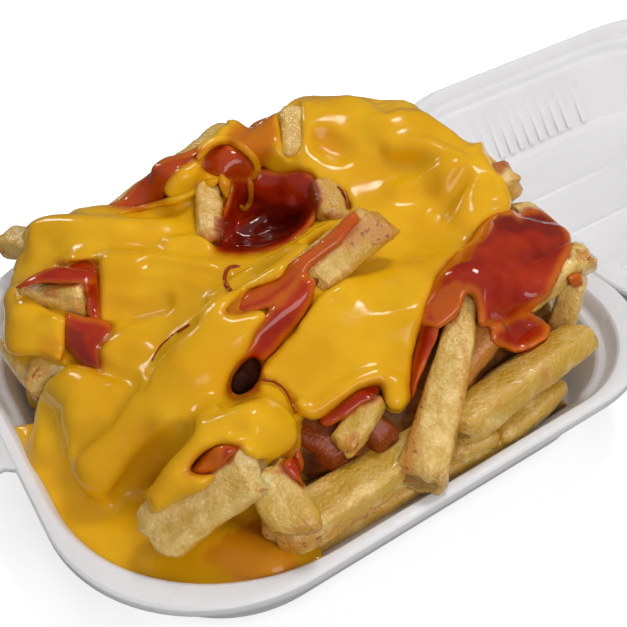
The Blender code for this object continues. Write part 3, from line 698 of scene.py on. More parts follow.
def camera_axes():
    """Unit vectors to the image's right, up and back towards the viewer."""
    azimuth, elevation, roll = (math.radians(a) for a in
                                (CAMERA_AZIMUTH, CAMERA_ELEVATION, CAMERA_ROLL))
    back = np.array((math.sin(azimuth) * math.cos(elevation),
                     -math.cos(azimuth) * math.cos(elevation), math.sin(elevation)))
    level = np.array((math.cos(azimuth), math.sin(azimuth), 0.0))
    above = np.cross(back, level)
    right = level * math.cos(roll) + above * math.sin(roll)
    up = above * math.cos(roll) - level * math.sin(roll)
    return right, up, back


RIGHT, UP, BACK = camera_axes()


def to_pixels(points):
    """Photograph pixels of points in millimetres, and their depth from the camera."""
    offset = points - CAMERA_AT
    depth = -(offset @ BACK)
    x = IMAGE_CENTRE + FOCAL_PIXELS * (offset @ RIGHT) / depth
    y = IMAGE_CENTRE - FOCAL_PIXELS * (offset @ UP) / depth
    return np.stack((x, y), -1), depth


def smooth_smaller(a, b, reach):
    mix = np.clip(0.5 + 0.5 * (b - a) / reach, 0, 1)
    return b + (a - b) * mix - reach * mix * (1 - mix)


def smooth_larger(a, b, reach):
    return -smooth_smaller(-a, -b, reach)


def smooth_step(low, high, value):
    t = np.clip((value - low) / (high - low), 0, 1)
    return t * t * (3 - 2 * t)


def block(low, high):
    """Slices of the volume between two corners, and the points in them."""
    cuts, spans = [], []
    for axis in range(3):
        first = max(0, int((low[axis] - LOW[axis]) / STEP))
        last = min(SHAPE[axis], int((high[axis] - LOW[axis]) / STEP) + 2)
        cuts.append(slice(first, max(last, first)))
        spans.append(AXES[axis][first:max(last, first)])
    return tuple(cuts), np.stack(np.meshgrid(*spans, indexing="ij"), -1)


def block_round(points, margin):
    """Slices of the volume within a margin of some points, and the points in them."""
    points = np.asarray(points)
    return block(points.min(0) - margin, points.max(0) + margin)


def from_corners(cell, part, value):
    """What a rule gives at the corners of cells, weighted by the points' places in them."""
    total = np.zeros(len(cell))
    for corner in CORNERS:
        weight = np.prod(np.where(corner, part, 1 - part), axis=-1)
        total += weight * value(*(cell + np.array(corner)).T)
    return total


def sample(volume, points):
    """The volume's value at points, by linear interpolation."""
    place = np.clip((points - LOW) / STEP, 0, np.array(SHAPE) - 1.001)
    cell = place.astype(int)
    return from_corners(cell, place - cell, lambda x, y, z: volume[x, y, z])


def value_noise(points, size, seed):
    """Smooth noise from -1 to 1 with features of a size in millimetres."""
    def scrambled(x, y, z):
        mixed = x * 73856093 ^ y * 19349663 ^ z * 83492791 ^ seed * 2654435
        mixed = (mixed * 1103515245 + 12345) & 0x7FFFFFFF
        mixed = (mixed ^ (mixed >> 13)) * 69069 & 0x7FFFFFFF
        return mixed / 0x3FFFFFFF - 1

    place = points / size + seed * 17.31
    cell = np.floor(place).astype(np.int64)
    part = place - cell
    return from_corners(cell, part * part * (3 - 2 * part), scrambled)


def waves(points, *layers):
    """Uneven heights at points, the sum of layers of a height, a size and a seed."""
    return sum(height * value_noise(points, size, seed) for height, size, seed in layers)


def fry_axes(fry):
    start, end = np.array(fry[0], float), np.array(fry[1], float)
    along = (end - start) / np.linalg.norm(end - start)
    across = np.cross(along, (0, 0, 1))
    across /= np.linalg.norm(across)
    up = np.cross(across, along)
    roll = math.radians(fry[4])
    turned = across * math.cos(roll) + up * math.sin(roll)
    return start, end, along, turned, np.cross(turned, along)


def rounded_box(beyond, rounding):
    """Distance to a rounded box, from how far points lie beyond the sides of its inner box."""
    outside = np.linalg.norm(np.maximum(beyond, 0), axis=-1)
    return outside + np.minimum(beyond.max(-1), 0) - rounding


def fry_distance(points, fry):
    start, end, along, across, up = fry_axes(fry)
    from_middle = points - (start + end) / 2
    half = np.array((np.linalg.norm(end - start), fry[2], fry[3])) / 2 - FRY_ROUNDING
    local = np.stack([from_middle @ axis for axis in (along, across, up)], -1)
    return rounded_box(np.abs(local) - half, FRY_ROUNDING)


def bed_distance(points, centre, half):
    beyond = np.abs(points - np.array(centre)) - np.array(half) + BED_ROUNDING
    return rounded_box(beyond, BED_ROUNDING)


def lump_distance(points, centre, radii):
    scaled = (points - np.array(centre)) / np.array(radii)
    length = np.linalg.norm(scaled, axis=-1) + 1e-9
    slope = np.linalg.norm(scaled / np.array(radii), axis=-1) + 1e-9
    return length * (length - 1) / slope


def line_distance(points, line, radius):
    """Distance to a round bar that follows a line of points."""
    nearest = np.full(points.shape[:-1], 1e9)
    for a, b in zip(line[:-1], line[1:]):
        edge = b - a
        t = np.clip(((points - a) @ edge) / (edge @ edge + 1e-9), 0, 1)
        nearest = np.minimum(nearest, np.linalg.norm(points - a - t[..., None] * edge, axis=-1))
    return nearest - radius


def loop_distance(points, outline):
    """Signed distance in a plane to a closed outline, below zero inside it."""
    loop = np.array(outline, float)
    nearest = np.full(len(points), 1e9)
    inside = np.zeros(len(points), bool)
    for a, b in zip(loop, np.roll(loop, -1, axis=0)):
        edge = b - a
        t = np.clip(((points - a) @ edge) / (edge @ edge + 1e-9), 0, 1)
        away = points - a - t[:, None] * edge
        nearest = np.minimum(nearest, np.einsum("ij,ij->i", away, away))
        if a[1] != b[1]:
            crosses = (a[1] > points[:, 1]) != (b[1] > points[:, 1])
            at_x = a[0] + (points[:, 1] - a[1]) * edge[0] / edge[1]
            inside ^= crosses & (points[:, 0] < at_x)
    return np.where(inside, -1, 1) * np.sqrt(nearest)


def seen_distance(pixels, depth, outlines):
    """Distance in millimetres to the nearest of some pixel outlines, below zero inside one."""
    nearest = np.full(len(pixels), FAR_IN_PIXELS)
    for outline in outlines:
        low = np.min(outline, axis=0) - NEAR_PIXELS
        high = np.max(outline, axis=0) + NEAR_PIXELS
        near = np.all((pixels > low) & (pixels < high), axis=1)
        nearest[near] = np.minimum(nearest[near], loop_distance(pixels[near], outline))
    return nearest * (depth / FOCAL_PIXELS)


def corner_distance(points, inset, front_radius, hinge_radius):
    """Distance in plan to the tray's outline at an inset, below zero inside it."""
    x = np.abs(points[..., 0])
    y = -points[..., 1]
    front = HALF_DEPTH - inset
    hinge = HINGE_GAP + inset + HINGE_LAND
    middle = (front + hinge) / 2
    radius = np.where(y > middle, front_radius, hinge_radius)
    beyond_x = x - (BOX_WIDTH / 2 - inset - radius)
    beyond_y = np.abs(y - middle) - ((front - hinge) / 2 - radius)
    outside = np.hypot(np.maximum(beyond_x, 0), np.maximum(beyond_y, 0))
    return outside + np.minimum(np.maximum(beyond_x, beyond_y), 0) - radius


def room_distance(points):
    """Distance to the tray's inner wall, below zero where food may lie."""
    z = points[..., 2]
    upwards = TRAY_INSIDE[::-1]
    heights = [section[1] for section in upwards]
    inset, front, hinge = (np.interp(z, heights, [section[k] for section in upwards])
                           for k in (0, 2, 3))
    inset = np.where(z > RIM_Z, ROOM_OVER_RIM, inset)
    return np.maximum(corner_distance(points, inset, front, hinge), FOAM + ROOM_OVER_FLOOR - z)


def pit_distance(points):
    """Distance to the pit's outline as seen, or a large one away from the pit."""
    pixels, depth = to_pixels(points)
    away = seen_distance(pixels, depth, [PIT_SEEN])
    return np.where(np.linalg.norm(points - PIT_MIDDLE, axis=1) < PIT_REACH, away, FAR)


def blurred(volume, sigma):
    """The volume smoothed by a Gaussian of that width in millimetres."""
    reach = max(1, int(round(2.5 * sigma / STEP)))
    offsets = np.arange(-reach, reach + 1)
    weights = np.exp(-0.5 * (offsets * STEP / sigma) ** 2)
    weights /= weights.sum()
    for axis in range(3):
        wide = np.pad(volume, [(reach, reach) if k == axis else (0, 0) for k in range(3)], "edge")
        length = volume.shape[axis]
        volume = sum(weight * np.take(wide, range(i, i + length), axis=axis)
                     for i, weight in enumerate(weights))
    return volume


def rays(pixels):
    """Unit directions from the camera through pixels."""
    pixels = np.asarray(pixels, float)
    way = (np.outer(pixels[:, 0] - IMAGE_CENTRE, RIGHT) - np.outer(pixels[:, 1] - IMAGE_CENTRE, UP)
           - FOCAL_PIXELS * BACK)
    return way / np.linalg.norm(way, axis=1)[:, None]


def cast(pixels, volume):
    """Where the camera's rays through the pixels first meet the volume's surface."""
    way = rays(pixels)
    travelled = (HIGH[2] - CAMERA_AT[2]) / way[:, 2]
    for _ in range(CAST_STEPS):
        here = CAMERA_AT + way * travelled[:, None]
        inside_block = np.all((here > LOW - 2) & (here < HIGH + 2), axis=1)
        gap = np.where(inside_block, sample(volume, here), 2.0)
        travelled += np.clip(gap * 0.8, -1.0, 6.0)
    return CAMERA_AT + way * travelled[:, None]


class DepthMap:
    """How far from the camera the heap's surface is seen at each pixel."""

    def __init__(self, volume):
        self.ticks = np.arange(0, IMAGE_WIDTH + DEPTH_MAP_PIXELS, DEPTH_MAP_PIXELS)
        x, y = np.meshgrid(self.ticks, self.ticks, indexing="ij")
        hits = cast(np.stack((x.ravel(), y.ravel()), -1), volume)
        self.depth = to_pixels(hits)[1].reshape(x.shape)

    def seen(self, pixels, depth):
        """1 for points on the seen surface, falling to 0 for points well behind it."""
        place = np.clip(pixels / DEPTH_MAP_PIXELS, 0, len(self.ticks) - 1.001)
        cell = place.astype(int)
        part = place - cell
        total = np.zeros(len(pixels))
        for i in (0, 1):
            for j in (0, 1):
                weight = np.abs(1 - i - part[:, 0]) * np.abs(1 - j - part[:, 1])
                total += weight * self.depth[cell[:, 0] + i, cell[:, 1] + j]
        return 1 - smooth_step(*HIDDEN_BEHIND, depth - total)


def make_bulk(points):
    """Distances to the heap under the sauces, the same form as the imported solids."""
    def share(distance):
        return np.exp(-np.clip(distance, -60, 60) / BLEND)

    total = sum(share(lump_distance(points, *lump)) for lump in LUMPS)
    for bed in BEDS:
        total += share(bed_distance(points, *bed))
    for fry in COVERED_FRIES.values():
        cut, near = block_round(fry[:2], BULK_MARGIN)
        total[cut] += share(fry_distance(near, fry))
    bulk = -BLEND * np.log(total + 1e-6)
    return smooth_larger(bulk, -lump_distance(points, *HOLLOW), HOLLOW_BLEND)


def add_fries(volume, fries, reach):
    for fry in fries:
        cut, near = block_round(fry[:2], FRY_MARGIN)
        volume[cut] = smooth_smaller(volume[cut], fry_distance(near, fry), reach)


def bar_on(volume, pixels, radius, lift):
    """The volume's slices round a bar along a pixel line on its surface, and distances to it."""
    line = cast(pixels, volume) + BACK * lift
    cut, near = block_round(line, radius + BAR_MARGIN)
    return cut, line_distance(near, line, radius)


def add_flows(volume, flows, seen_volume, reach):
    """Round bars on a surface, sunk into it or lifted towards the camera."""
    for pixels, radius, lift in flows:
        cut, away = bar_on(seen_volume, pixels, radius, lift)
        volume[cut] = smooth_smaller(volume[cut], away, max(reach, FLOW_BLEND_SHARE * radius))


def press_dents(volume, dents):
    """Furrows that round bars leave in a surface."""
    for pixels, radius, lift in dents:
        cut, away = bar_on(volume, pixels, radius, lift)
        volume[cut] = smooth_larger(volume[cut], -away, max(DENT_BLEND, DENT_BLEND_SHARE * radius))


def view_hole(volume, outline, reach):
    """Distance to a hole that goes straight in from the camera through a pixel outline."""
    middle = cast([np.mean(outline, axis=0)], volume)
    cut, near = block_round(middle, reach + HOLE_MARGIN)
    pixels, depth = to_pixels(near.reshape(-1, 3))
    away = seen_distance(pixels, depth, [outline])
    away = np.maximum(away, np.abs(depth - to_pixels(middle)[1][0]) - reach)
    hole = np.full(SHAPE, FAR)
    hole[cut] = away.reshape(near.shape[:3])
    return hole


class Heap:
    """The volumes that the food is cut from, and what the camera sees of them."""

    def __init__(self):
        self.points = block(LOW, HIGH)[1]
        self.bulk = make_bulk(self.points)
        near = np.abs(self.bulk) < NEAR_PIT
        in_pit = smooth_step(0.0, PIT_WALL, -pit_distance(self.points[near]))
        self.under = self.bulk.copy()
        self.under[near] += PIT_DEPTH * in_pit
        draped = self.under.copy()
        add_fries(draped, [fry for name, fry in BARE_FRIES.items() if name not in FREE_FRIES],
                  CHEESE_FRY_BLEND)
        self.blanket = draped.copy()
        add_fries(self.blanket, [BARE_FRIES[name] for name in FREE_FRIES], FREE_FRY_BLEND)
        self.top = blurred(draped, CHEESE_SMOOTHING) - CHEESE_DEPTH
        near = np.abs(self.top) < NEAR_WAVES
        for layer in CHEESE_WAVES:
            self.top[near] += waves(self.points[near], layer)
        add_flows(self.top, FLOWS.values(), self.top.copy(), FLOW_BLEND)
        press_dents(self.top, DENTS.values())
        self.hole = view_hole(self.top, HOLE_SEEN, HOLE_DEPTH)
        self.depth_map = DepthMap(np.minimum(self.top, self.blanket))
        self.room = room_distance(self.points)
        self.sauce_room = self.room - WALL_OVERLAP

    def seen(self, points):
        return self.depth_map.seen(*to_pixels(points))

    def masked(self, near, values):
        """A volume of values at some of its points and of far ones elsewhere."""
        mask = np.full(SHAPE, FAR)
        mask[near] = values
        return mask


def red_stain(points, heap):
    """How far ketchup has coloured what lies at the points, from 0 to 1."""
    away = seen_distance(*to_pixels(points), ALL_KETCHUP) + waves(points, STAIN_EDGE)
    return (1 - smooth_step(-0.5, 1.6, away)) * heap.seen(points)


def painted(points, heap, table):
    """The strength of the outlines in a table that the points are seen in."""
    pixels, depth = to_pixels(points)
    wobble = waves(points, PAINTED_EDGE)
    total = np.zeros(len(points))
    for outline, strength in table.values():
        away = seen_distance(pixels, depth, [outline]) + wobble
        total = np.maximum(total, strength * (1 - smooth_step(-0.8, 0.9, away)))
    return total * heap.seen(points)


def add_object(name, data):
    made = bpy.data.objects.new(name, data)
    bpy.context.scene.collection.objects.link(made)
    return made


def object_from(name, points, faces):
    mesh = bpy.data.meshes.new(name)
    mesh.from_pydata([tuple(c * MM for c in point) for point in points], [], faces)
    mesh.update()
    return add_object(name, mesh)


def mesh_object(name, points, faces):
    """A smooth object from many points in millimetres and faces with equal counts of corners."""
    mesh = bpy.data.meshes.new(name)
    mesh.vertices.add(len(points))
    mesh.vertices.foreach_set("co", (points * MM).astype(np.float32).ravel())
    mesh.loops.add(faces.size)
    mesh.loops.foreach_set("vertex_index", faces.astype(np.int32).ravel())
    mesh.polygons.add(len(faces))
    starts = np.arange(0, faces.size, faces.shape[1], dtype=np.int32)
    mesh.polygons.foreach_set("loop_start", starts)
    mesh.update(calc_edges=True)
    mesh.validate()
    mesh.shade_smooth()
    return add_object(name, mesh)


def surface(name, values):
    """Closed mesh where the volume's values cross zero, one point in each crossed cell."""
    values = np.pad(values, 1, constant_values=50.0)
    cells = tuple(n - 1 for n in values.shape)
    corner = {c: values[c[0]:c[0] + cells[0], c[1]:c[1] + cells[1], c[2]:c[2] + cells[2]]
              for c in CORNERS}
    inside = sum((corner[c] < 0).astype(np.int8) for c in CORNERS)
    used = (inside > 0) & (inside < len(CORNERS))
    where = np.argwhere(used)
    level = {c: corner[c][used] for c in CORNERS}
    total = np.zeros((len(where), 3))
    count = np.zeros(len(where))
    for a in CORNERS:
        for axis in range(3):
            if a[axis]:
                continue
            b = tuple(a[k] + (k == axis) for k in range(3))
            crossed = (level[a] < 0) != (level[b] < 0)
            t = level[a] / np.where(crossed, level[a] - level[b], 1.0)
            for k in range(3):
                total[:, k] += np.where(crossed, a[k] + (t if k == axis else 0.0), 0.0)
            count += crossed
    number = np.full(cells, -1)
    number[used] = np.arange(len(where))
    points = (where + total / count[:, None]) * STEP + LOW - STEP
    faces = []
    for axis in range(3):
        order = (axis, (axis + 1) % 3, (axis + 2) % 3)
        here = np.moveaxis(values < 0, order, (0, 1, 2))
        ids = np.moveaxis(number, order, (0, 1, 2))
        start, end = here[:-1, 1:-1, 1:-1], here[1:, 1:-1, 1:-1]
        quad = np.stack([ids[:, :-1, :-1], ids[:, 1:, :-1], ids[:, 1:, 1:], ids[:, :-1, 1:]], -1)
        faces.append(quad[start & ~end])
        faces.append(quad[end & ~start][:, ::-1])
    return mesh_object(name, points, np.concatenate(faces))


def ring_faces(rings, around, flipped=False):
    """Four-sided faces between rings of points that follow one another."""
    faces = []
    for low in range(0, (rings - 1) * around, around):
        for i in range(around):
            j = (i + 1) % around
            a, b, c, d = low + i, low + j, low + around + j, low + around + i
            faces.append((a, d, c, b) if flipped else (a, b, c, d))
    return faces


def join_parts(name, parts):
    """One smooth object from parts that each begin with points and faces."""
    faces = []
    start = 0
    for part in parts:
        faces += [tuple(corner + start for corner in face) for face in part[1]]
        start += len(part[0])
    made = object_from(name, np.concatenate([part[0] for part in parts]), faces)
    made.data.shade_smooth()
    return made


def smooth_line(points, steps):
    """A finer line through the points, without corners."""
    points = np.asarray(points, float)
    ends = np.concatenate((2 * points[:1] - points[1:2], points, 2 * points[-1:] - points[-2:-1]))
    line = []
    for a, b, c, d in zip(ends[:-3], ends[1:-2], ends[2:-1], ends[3:]):
        for t in np.arange(steps) / steps:
            line.append(0.5 * (2 * b + (c - a) * t + (2 * a - 5 * b + 4 * c - d) * t ** 2
                               + (3 * b - a - 3 * c + d) * t ** 3))
    return np.array(line + [points[-1]])


def strand(line, radius_start, radius_end, around=10):
    """Points and faces of a round strand with rounded ends along a fine line."""
    way = np.gradient(line, axis=0)
    way /= np.linalg.norm(way, axis=1)[:, None]
    side = np.cross(way, BACK)
    side /= np.linalg.norm(side, axis=1)[:, None]
    up = np.cross(side, way)
    length = np.concatenate(((0,), np.cumsum(np.linalg.norm(np.diff(line, axis=0), axis=1))))
    radius = np.interp(length, (0, length[-1]), (radius_start, radius_end))
    from_end = np.minimum(length + 0.05, length[-1] - length + 0.05)
    radius = radius * np.sqrt(np.clip(from_end / (2 * radius), 0.02, 1))
    angle = np.linspace(0, 2 * math.pi, around, endpoint=False)
    rings = (line[:, None] + radius[:, None, None] * (np.cos(angle)[None, :, None] * side[:, None]
                                                      + np.sin(angle)[None, :, None] * up[:, None]))
    last = (len(line) - 1) * around
    faces = ring_faces(len(line), around, flipped=True)
    faces.append(tuple(range(around)))
    faces.append(tuple(last + i for i in reversed(range(around))))
    return rings.reshape(-1, 3), faces


def strands(name, table, volume):
    """One object with every strand of a table, cast on to a volume's surface."""
    parts = []
    for pixels, radius_start, radius_end, lift in table.values():
        line = smooth_line(smooth_line(cast(smooth_line(pixels, 3), volume), 1), 4)
        parts.append(strand(line + BACK * lift, radius_start, radius_end))
    return join_parts(name, parts)


def vertex_points(made):
    """An object's points in millimetres."""
    flat = np.zeros(len(made.data.vertices) * 3, np.float32)
    made.data.vertices.foreach_get("co", flat)
    return flat.reshape(-1, 3).astype(float) / MM


def add_attribute(made, name, values):
    """A number or vector for each point, which the materials read."""
    kind, key = ("FLOAT", "value") if values.ndim == 1 else ("FLOAT_VECTOR", "vector")
    attribute = made.data.attributes.new(name, kind, "POINT")
    attribute.data.foreach_set(key, values.astype(np.float32).ravel())


def apply_modifiers(made):
    depsgraph = bpy.context.evaluated_depsgraph_get()
    made.data = bpy.data.meshes.new_from_object(made.evaluated_get(depsgraph))
    made.modifiers.clear()


def smooth_mesh(made):
    step = made.modifiers.new("Smooth", "SMOOTH")
    step.iterations = SMOOTH_ROUNDS
    step.factor = 0.5
    apply_modifiers(made)


def thin_out(made, most):
    """Fewer triangles, where a surface has more than that."""
    count = sum(len(face.vertices) - 2 for face in made.data.polygons)
    if count > most:
        step = made.modifiers.new("Fewer", "DECIMATE")
        step.ratio = most / count
        apply_modifiers(made)


def drop_scraps(made, fewest):
    """Deletes loose scraps with fewer points than that."""
    body = bmesh.new()
    body.from_mesh(made.data)
    left = set(body.verts)
    scraps = []
    while left:
        group = [left.pop()]
        for vert in group:
            for edge in vert.link_edges:
                other = edge.other_vert(vert)
                if other in left:
                    left.remove(other)
                    group.append(other)
        if len(group) < fewest:
            scraps += group
    bmesh.ops.delete(body, geom=scraps, context="VERTS")
    body.to_mesh(made.data)
    body.free()


class Tree:
    """A material's node tree, built with short calls."""

    def __init__(self, name):
        self.material = bpy.data.materials.new(name)
        self.material.use_nodes = True
        self.nodes = self.material.node_tree.nodes
        self.links = self.material.node_tree.links
        self.shader = self.nodes["Principled BSDF"]
        self.place = self.nodes.new("ShaderNodeTexCoord").outputs["Object"]

    def put(self, value, socket):
        """Links an output to a socket, or sets the socket to a number or a colour."""
        if isinstance(value, bpy.types.NodeSocket):
            self.links.new(value, socket)
        else:
            socket.default_value = (*value, 1.0) if socket.type == "RGBA" else value

    def node(self, kind, **inputs):
        """A new node with its inputs set or linked, by name with _ for a space."""
        node = self.nodes.new(kind)
        for name, value in inputs.items():
            self.put(value, node.inputs[name.replace("_", " ")])
        return node

    def attribute(self, name, output="Fac"):
        node = self.node("ShaderNodeAttribute")
        node.attribute_name = name
        return node.outputs[output]

    def stretched(self, vector, scale):
        return self.node("ShaderNodeMapping", Vector=vector, Scale=scale).outputs["Vector"]

    def noise(self, size, detail=2.0, roughness=0.5, vector=None):
        """Fractal noise whose features have about that size in the vector's own units."""
        return self.node("ShaderNodeTexNoise", Vector=vector or self.place, Scale=1 / size,
                         Detail=detail, Roughness=roughness).outputs["Fac"]

    def cells(self, size, vector=None):
        return self.node("ShaderNodeTexVoronoi", Vector=vector or self.place,
                         Scale=1 / size).outputs["Distance"]

    def between(self, value, low, high, to_low=0.0, to_high=1.0):
        node = self.nodes.new("ShaderNodeMapRange")
        node.interpolation_type = "SMOOTHSTEP"
        for name, number in zip(("Value", "From Min", "From Max", "To Min", "To Max"),
                                (value, low, high, to_low, to_high)):
            self.put(number, node.inputs[name])
        return node.outputs["Result"]

    def maths(self, operation, a, b):
        node = self.nodes.new("ShaderNodeMath")
        node.operation = operation
        self.put(a, node.inputs[0])
        self.put(b, node.inputs[1])
        return node.outputs[0]

    def mix(self, factor, a, b):
        """A colour between two colours."""
        node = self.nodes.new("ShaderNodeMix")
        node.data_type = "RGBA"
        for name, value in (("Factor", factor), ("A", a), ("B", b)):
            self.put(value, node.inputs[name])
        return next(out for out in node.outputs if out.type == "RGBA")

    def bump(self, height, depth, strength=1.0, under=None):
        """A normal from a height between 0 and 1 that is worth that depth in millimetres."""
        node = self.node("ShaderNodeBump", Strength=strength, Distance=depth * MM, Height=height)
        if under:
            self.put(under, node.inputs["Normal"])
        return node.outputs["Normal"]

    def finish(self, colour, roughness, normal=None, **settings):
        """The material, with any further sockets of the shader set by name."""
        inputs = self.shader.inputs
        self.put(colour, inputs["Base Color"])
        self.put(roughness, inputs["Roughness"])
        if normal:
            self.put(normal, inputs["Normal"])
        for name, value in settings.items():
            inputs[name.replace("_", " ").title().replace("Ior", "IOR")].default_value = value
        return self.material


def foam_material():
    tree = Tree("foam")
    tone = tree.between(tree.noise(0.030), 0.35, 0.7)
    colour = tree.mix(tone, (0.738, 0.728, 0.736), (0.762, 0.753, 0.760))
    beads = tree.bump(tree.between(tree.cells(0.0022), 0.0, 0.6), 0.05, 0.5)
    soft = tree.bump(tree.noise(0.012), 0.15, 0.5, beads)
    gloss = tree.between(tree.noise(0.004), 0.3, 0.7, 0.38, 0.52)
    return tree.finish(colour, gloss, soft, subsurface_weight=0.5,
                       subsurface_radius=(1.0, 1.0, 1.0), subsurface_scale=0.006)


def cheese_material():
    tree = Tree("cheese")
    red_and_shade = tree.attribute("red_and_shade")
    thin_and_shade = tree.attribute("thin_and_shade")
    drift = tree.between(tree.noise(0.022), 0.35, 0.68)
    base = tree.mix(drift, (0.70, 0.350, 0.0035), (0.78, 0.420, 0.008))
    # The orange of thinly spread cheese, which also paints shade in hollows, valleys and under the
    # fries
    base = tree.mix(thin_and_shade, base, (0.60, 0.190, 0.004))
    base = tree.mix(red_and_shade, base, (0.36, 0.030, 0.002))
    ripple = tree.bump(tree.noise(0.007), 0.20, 0.5)
    fine = tree.bump(tree.noise(0.0016), 0.02, 0.5, ripple)
    gloss = tree.between(tree.noise(0.010), 0.3, 0.75, 0.10, 0.22)
    return tree.finish(base, gloss, fine, subsurface_weight=0.30,
                       subsurface_radius=(1.0, 0.42, 0.08), subsurface_scale=0.004,
                       specular_IOR_level=0.24)


def ketchup_material():
    tree = Tree("ketchup")
    thin_and_shade = tree.attribute("thin_and_shade")
    dark_and_shade = tree.attribute("dark_and_shade")
    drift = tree.between(tree.noise(0.014), 0.35, 0.7)
    base = tree.mix(drift, (0.31, 0.012, 0.0010), (0.42, 0.026, 0.0020))
    base = tree.mix(thin_and_shade, base, (0.62, 0.150, 0.005))
    # Painted shade: near black in the pit and behind the side's lip, and darker ketchup in the patch
    # low at the left and in the strands
    base = tree.mix(dark_and_shade, base, (0.075, 0.004, 0.002))
    return tree.finish(base, 0.09, tree.bump(tree.noise(0.006), 0.25, 0.5),
                       subsurface_weight=0.20, subsurface_radius=(1.0, 0.14, 0.04),
                       subsurface_scale=0.003, specular_IOR_level=0.38)


def gap_material():
    """What lies between the fries: painted shade and sauce, a dark maroon where it is seen and a
    paler potato brown where it is not.
    """
    tree = Tree("potato_gaps")
    # Painted shade: the gaps that are seen are dark in place of their shadow
    dark = tree.mix(tree.between(tree.noise(0.008), 0.35, 0.7), (0.060, 0.009, 0.002),
                    (0.17, 0.035, 0.004))
    pale = tree.mix(tree.between(tree.noise(0.005), 0.35, 0.65), (0.20, 0.095, 0.016),
                    (0.48, 0.290, 0.060))
    base = tree.mix(tree.attribute("red_and_shade"), pale, dark)
    return tree.finish(base, 0.45, tree.bump(tree.noise(0.003), 0.8, 0.8),
                       specular_IOR_level=0.15)


def potato_material():
    """Fried potato, mottled in millimetres of each fry's own length and width."""
    tree = Tree("potato")
    place = tree.attribute("fry_place", "Vector")
    brown = tree.attribute("brown")
    tone = tree.attribute("tone")
    red_and_shade = tree.attribute("red_and_shade")
    lengthwise = tree.stretched(place, (0.7, 1.0, 1.0))
    mottle = tree.maths("ADD", tree.maths("MULTIPLY", tree.noise(4.5, 3.0, 0.6, lengthwise), 0.75),
                        tree.maths("MULTIPLY", tree.noise(1.1, 3.0, 0.6, lengthwise), 0.25))
    base = tree.mix(tree.between(mottle, 0.36, 0.66), (0.62, 0.37, 0.055), (0.84, 0.60, 0.215))
    greasy = tree.between(tree.noise(9.0, 2.0, 0.5, place), 0.28, 0.60)
    base = tree.mix(tree.maths("MULTIPLY", tone, greasy), base, (0.58, 0.335, 0.022))
    grain = tree.noise(0.9, 3.0, 0.65, place)
    uneven = tree.maths("MULTIPLY", tree.maths("SUBTRACT", grain, 0.5), 1.3)
    edge = tree.maths("ADD", brown, uneven)
    base = tree.mix(tree.between(edge, 0.12, 0.72), base, (0.60, 0.265, 0.032))
    spots = tree.maths("MULTIPLY", tree.between(tree.noise(2.2, 2.0, 0.5, place), 0.58, 0.68),
                       tree.between(brown, 0.20, 0.60))
    base = tree.mix(spots, base, (0.30, 0.100, 0.015))
    base = tree.mix(tree.between(red_and_shade, 0.0, 0.5), base, (0.46, 0.130, 0.012))
    base = tree.mix(tree.between(red_and_shade, 0.45, 1.0), base, (0.24, 0.040, 0.002))
    blisters = tree.bump(tree.between(tree.cells(1.4, place), 0.0, 0.7, 1.0, 0.0), 0.20, 0.6)
    wrinkles = tree.bump(tree.noise(2.6, 4.0, 0.60, place), 1.05, 0.7, blisters)
    crisp = tree.maths("MULTIPLY", grain, tree.between(brown, 0.0, 0.6, 0.25, 1.0))
    grains = tree.bump(crisp, 0.75, 0.7, wrinkles)
    gloss = tree.between(tree.noise(2.4, 2.0, 0.5, place), 0.35, 0.65, 0.12, 0.30)
    oil = tree.bump(tree.noise(1.3, 2.0, 0.5, place), 0.80, 1.0)
    tree.put(oil, tree.shader.inputs["Coat Normal"])
    tree.put(tree.between(red_and_shade, 0.0, 0.8, 0.75, 0.1), tree.shader.inputs["Coat Weight"])
    return tree.finish(base, gloss, grains, subsurface_weight=0.40,
                       subsurface_radius=(1.0, 0.55, 0.20), subsurface_scale=0.003,
                       specular_IOR_level=0.4, coat_roughness=0.05)


def dress(made, finish, node, body):
    made.data.materials.clear()
    made.data.materials.append(finish)
    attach(made, body)
    if node:
        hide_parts(node)


def rim_ring(inset, height, front_radius, hinge_radius, side):
    """One closed outline of the box at a height; side is -1 for the tray and 1 for the lid."""
    half_width = BOX_WIDTH / 2 - inset
    front = HALF_DEPTH - inset
    hinge = HINGE_GAP + inset * (LID_HINGE_FACTOR if side > 0 else 1.0)
    if inset > RIM_INSET:
        hinge += HINGE_LAND
    corners = (
        (half_width - front_radius, front - front_radius, front_radius, 90),
        (front_radius - half_width, front - front_radius, front_radius, 180),
        (hinge_radius - half_width, hinge + hinge_radius, hinge_radius, 270),
        (half_width - hinge_radius, hinge + hinge_radius, hinge_radius, 360),
    )
    ring = []
    for centre_x, centre_y, radius, end_angle in corners:
        for step in range(CORNER_STEPS + 1):
            angle = math.radians(end_angle - 90 + 90 * step / CORNER_STEPS)
            ring.append((centre_x + radius * math.cos(angle),
                         (centre_y + radius * math.sin(angle)) * side, height))
    return ring


def shade(made, kind):
    made.data.shade_smooth()
    made.data.set_sharp_from_angle(angle=math.radians(SHARP_ANGLES[kind]))


def solid_from(name, points, faces, kind):
    """An object whose faces all look outwards."""
    made = object_from(name, points, faces)
    body = bmesh.new()
    body.from_mesh(made.data)
    bmesh.ops.recalc_face_normals(body, faces=body.faces)
    body.to_mesh(made.data)
    body.free()
    shade(made, kind)
    return made


def shell(name, sections, side):
    """The tray or lid from its outlines, outside up to the rim and inside down again."""
    rings = [rim_ring(*section, side) for section in sections]
    count = len(rings[0])
    faces = ring_faces(len(rings), count)
    faces.append(tuple(range(count)))
    faces.append(tuple(range((len(rings) - 1) * count, len(rings) * count)))
    return solid_from(name, [point for ring in rings for point in ring], faces, "shell")


